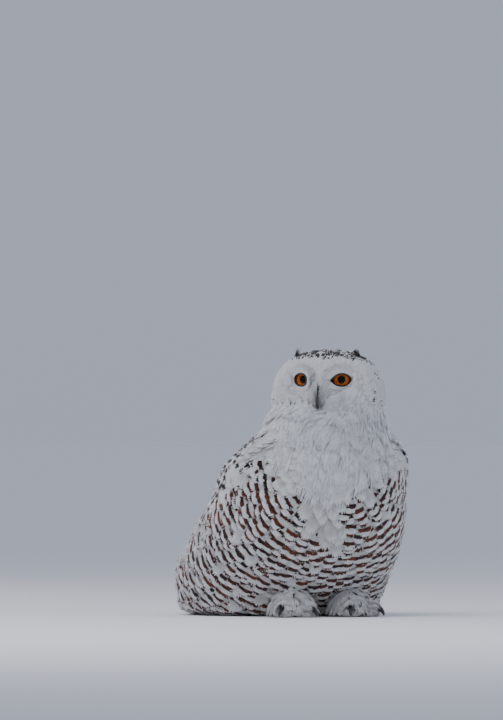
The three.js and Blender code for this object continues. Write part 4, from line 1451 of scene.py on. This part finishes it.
for side, name in ((1, "left"), (-1, "right")):
    own, faces = revolved(np.concatenate([iris, white, rear]), 64)
    points = at_eye(own, side)
    mesh = shape_mesh(f"eyeball_{name}", points, outward(points, faces))
    ring = np.hypot(own[:, 0], own[:, 2])
    spoke = own[:, [0, 2]] / np.maximum(ring, 1e-6)[:, None]
    rear_of = (own[:, 1] > -5) | (ring > IRIS_EDGE + 0.1)
    label(mesh, "ring", np.column_stack([spoke, np.where(rear_of, 16, ring)]))
    piece(f"eyeball_{name}", mesh, IRIS, (f"eye_{name}",))
    points, faces = revolved(dome, 48)
    points = at_eye(points, side)
    piece(f"cornea_{name}", shape_mesh(f"cornea_{name}", points, outward(points, faces)), CORNEA)

    # the lids: a black bead round an almond opening, and a thin sheet from it out under the face's feathers
    phi = np.linspace(0, 2 * np.pi, 72, endpoint=False)
    edge, outwards, _, corner = lid_opening(phi, side)
    flat = edge[:, None] + outwards[:, None] * LID_SECTION[None, :, :1]
    away = np.minimum(np.linalg.norm(flat, axis=-1), LID_REST)
    y = ball_y(away, 0.7) - LID_SECTION[None, :, 1] - 0.35 - LID_OUT * ease(0, 1, -np.cos(phi))[:, None]
    points = at_eye(np.stack([flat[..., 0], y, flat[..., 1]], -1), side).reshape(-1, 3)
    here = np.arange(len(points)).reshape(y.shape)
    beside = np.roll(here, -1, 1)
    faces = [np.stack([here, beside, np.roll(beside, -1, 0), np.roll(here, -1, 0)], -1).reshape(-1, 4)]
    mesh = shape_mesh(f"eyelids_{name}", points, outward(points, faces))
    rim = ease(0.0, 0.8, 1.7 + 1.2 * corner[:, None] - LID_SECTION[None, :, 0])
    label(mesh, "rim", rim, "FLOAT", "value")
    piece(f"eyelids_{name}", mesh, LID)

    # a fringe of tiny feathers that stand on the lids' outer part and point away from the eye
    row = np.repeat(np.arange(FRINGE_ROWS), FRINGE_COUNT)
    phi = (np.tile(np.arange(FRINGE_COUNT), FRINGE_ROWS) + 0.5 * (row % 2)) / FRINGE_COUNT * 2 * np.pi
    phi = phi + rng.normal(0, 0.03, len(phi))
    edge, outwards, nasal, corner = lid_opening(phi, side)
    from_edge = row * 1.3 + 1.0 + 0.5 * np.abs(np.cos(phi)) ** 3 + rng.uniform(-0.3, 0.3, len(phi))
    from_edge = from_edge + np.where(nasal, 0.0, 0.2 * corner)
    s = np.linspace(0, 1, 5)
    step = from_edge[:, None] + s * rng.uniform(7, 10, len(phi))[:, None]
    flat = edge[:, None] + outwards[:, None] * step[..., None]
    away = np.minimum(np.hypot(*edge.T) + from_edge, LID_REST)
    near_y = ball_y(away, 0.7) - 0.9 - LID_OUT * ease(0, 1, -np.cos(phi))
    y = near_y[:, None] - s * (1.6 + 2.2 * np.cos(phi) + 7.5 * np.maximum(-np.cos(phi), 0) ** 2)[:, None]
    spine = at_eye(np.stack([flat[..., 0], y, flat[..., 1]], -1), side)
    front = at_eye(np.array([0.0, -1.0, 0.0]), side) - at_eye(np.zeros(3), side)
    roots = np.stack([np.degrees(phi), from_edge / 10], -1)
    normals = np.broadcast_to(front, spine.shape)
    grown(f"lid_fringe_{name}", spine, normals, roots, 7.5, SMALL, CROWN)

# ---------- bill and claws ----------

for name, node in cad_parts.items():
    if name.startswith(("bill", "claw")):
        node.material_slots[0].link = "OBJECT"
        node.material_slots[0].material = HORN

# ---------- feet ----------

TUFT_INSTEP, TUFT_TOE, TUFTS = 5.0, 2.0, 40  # mm that tufts stand out, and how many hang over a claw's root

for side, name in ((1, "left"), (-1, "right")):
    spines, faces_out, roots = [], [], []
    ankle = ankle_of(side)
    instep, half = ankle + [0, -4, 2], INSTEP + TUFT_INSTEP
    foot = [(ball_form(instep, INSTEP, TUFT_INSTEP), 5.0, lambda p: p[:, 2] > 12)]
    foot += [(toe_form(side, toe, TUFT_TOE), 4.6, lambda p: inside(instep, half, p) > 0.95) for toe in TOES]
    for form, spacing, outer in foot:
        start, p, _ = spread(form, spacing, lambda p, n: (p[:, 2] > 1.5) & (n[:, 2] > -0.3) & outer(p))
        size = rng.uniform(12, 18, len(start)) * np.interp(p[:, 2], [0, 30], [0.7, 1.1])
        # outwards from the ankle and down to the ground
        heading = lambda q, m, d: unit((q - ankle) * [1, 1, 0]) * 0.9 - UP * 0.8
        surface, normals = lay(form, start, heading, size, 5)
        s = np.linspace(0, 1, 5)
        lift = rng.uniform(0.3, 2.2, len(start))
        spines.append(surface + normals * (-2.5 * (1 - s) + lift[:, None] * s**1.5)[..., None])
        faces_out.append(normals)
        roots.append(np.stack(angles_of(unit(p - ankle - [0, 0, 5])), -1))
    for toe in TOES:
        # tufts that hang over the claw's root, from the top of the toe's end
        ahead, across = toe_ways(side, toe)
        off, far = rng.uniform(-9, 9, TUFTS), TOES[toe][1] + rng.uniform(-12, 4, TUFTS)
        high = 23 - 0.09 * off**2 - 0.25 * (far - TOES[toe][1])
        base = ankle + ahead * far[:, None] + across * off[:, None] + UP * high[:, None]
        tip = base + ahead * rng.uniform(9, 13, (TUFTS, 1)) + across * off[:, None] * 0.25
        tip = tip - UP * (rng.uniform(3, 7, TUFTS) + 0.06 * off**2)[:, None]
        s = np.linspace(0, 1, 5)[None, :, None]
        spines.append(base[:, None] + (tip - base)[:, None] * s + UP * 1.6 * np.sin(np.pi * s))
        facing = unit(UP + 0.5 * ahead + across * off[:, None, None] * 0.06)
        faces_out.append(np.broadcast_to(facing, spines[-1].shape))
        roots.append(np.stack([np.degrees(np.arctan2(ahead[0], -ahead[1])) + off, 0.5 + 0 * off], -1))
    spine, normals, roots = np.concatenate(spines), np.concatenate(faces_out), np.concatenate(roots)
    width = rng.uniform(6, 9, len(spine))
    grown(f"foot_tufts_{name}", spine, normals, roots, width, FOOT_TUFT, SHADED_FOOT_DOWN)

# ---------- tail and wing tips ----------

TAIL_BLADES = 12
blade = np.arange(TAIL_BLADES) - (TAIL_BLADES - 1) / 2
s = np.linspace(0, 1, 12)
fan = blade / blade[-1]
x = fan[:, None] * (TAIL_ROOT_HALF * 0.55 + (TAIL_TIP_HALF - 9 - TAIL_ROOT_HALF * 0.55) * s**0.8)
y = TAIL_ROOT + 45 + (TAIL_TIP - TAIL_ROOT - 45 - 4 - 26 * fan[:, None] ** 2) * s
z = 27 - 23.0 * s**0.8 + (1.5 - np.abs(fan[:, None])) * 6.0 * (1 - 0.3 * s)
spine = np.stack([x, y, z], -1)
normals = unit(np.stack([fan[:, None] * 0.25 + 0 * x, 0.15 + 0 * x, 1 + 0 * x], -1))
roots = np.stack([blade, 0 * blade], -1)
grown(
    "tail_feathers", spine, normals, roots, 21.0, BLADE, TAIL_FEATHER, (1.0, 0.4, 0.0),
    nodes=("tail",),
)


def wing_heading(p, n, d):
    """Along the folded wing towards its tip, which crosses over the tail's root."""
    angle, _ = angles_of(d)
    return leaning(n, angle, np.radians(np.interp(np.abs(angle), [100, 150, 180], [58, 42, 25])))


share = np.linspace(0, 1, 9)
angle = np.concatenate([118 + 36 * share, -118 - 36 * share])
height = np.tile(118 - 30 * share, 2)
start = sphere_point(angle, down_of(height))
tract(
    "wing_quills", trunk_form, start, wing_heading, 92.0, 24.0, BLADE, TAIL_FEATHER,
    (1.0, 0.3, 0.3), np.tile(2.0 + 2.5 * share, 2), depth=2.0, stations=10,
)

# ---------- soft plumes that the wind lifts off the right flank ----------

count = 230
angle = -rng.uniform(84, 160, count)
height = rng.uniform(10, 150, count) * np.interp(-angle, [84, 160], [1.0, 0.8])
start = sphere_point(angle, down_of(height))
tract(
    "flank_fluff", skirt_form, start, breast_heading, rng.uniform(24, 36, count), rng.uniform(9, 15, count),
    PLUME, PLUMAGE, (rng.choice([0.0, 1.0], count, p=[0.7, 0.3]), 0.8, 0.0),
    rng.uniform(1, 5, count), depth=5.0, curl=2.2, stray=0.25,
)
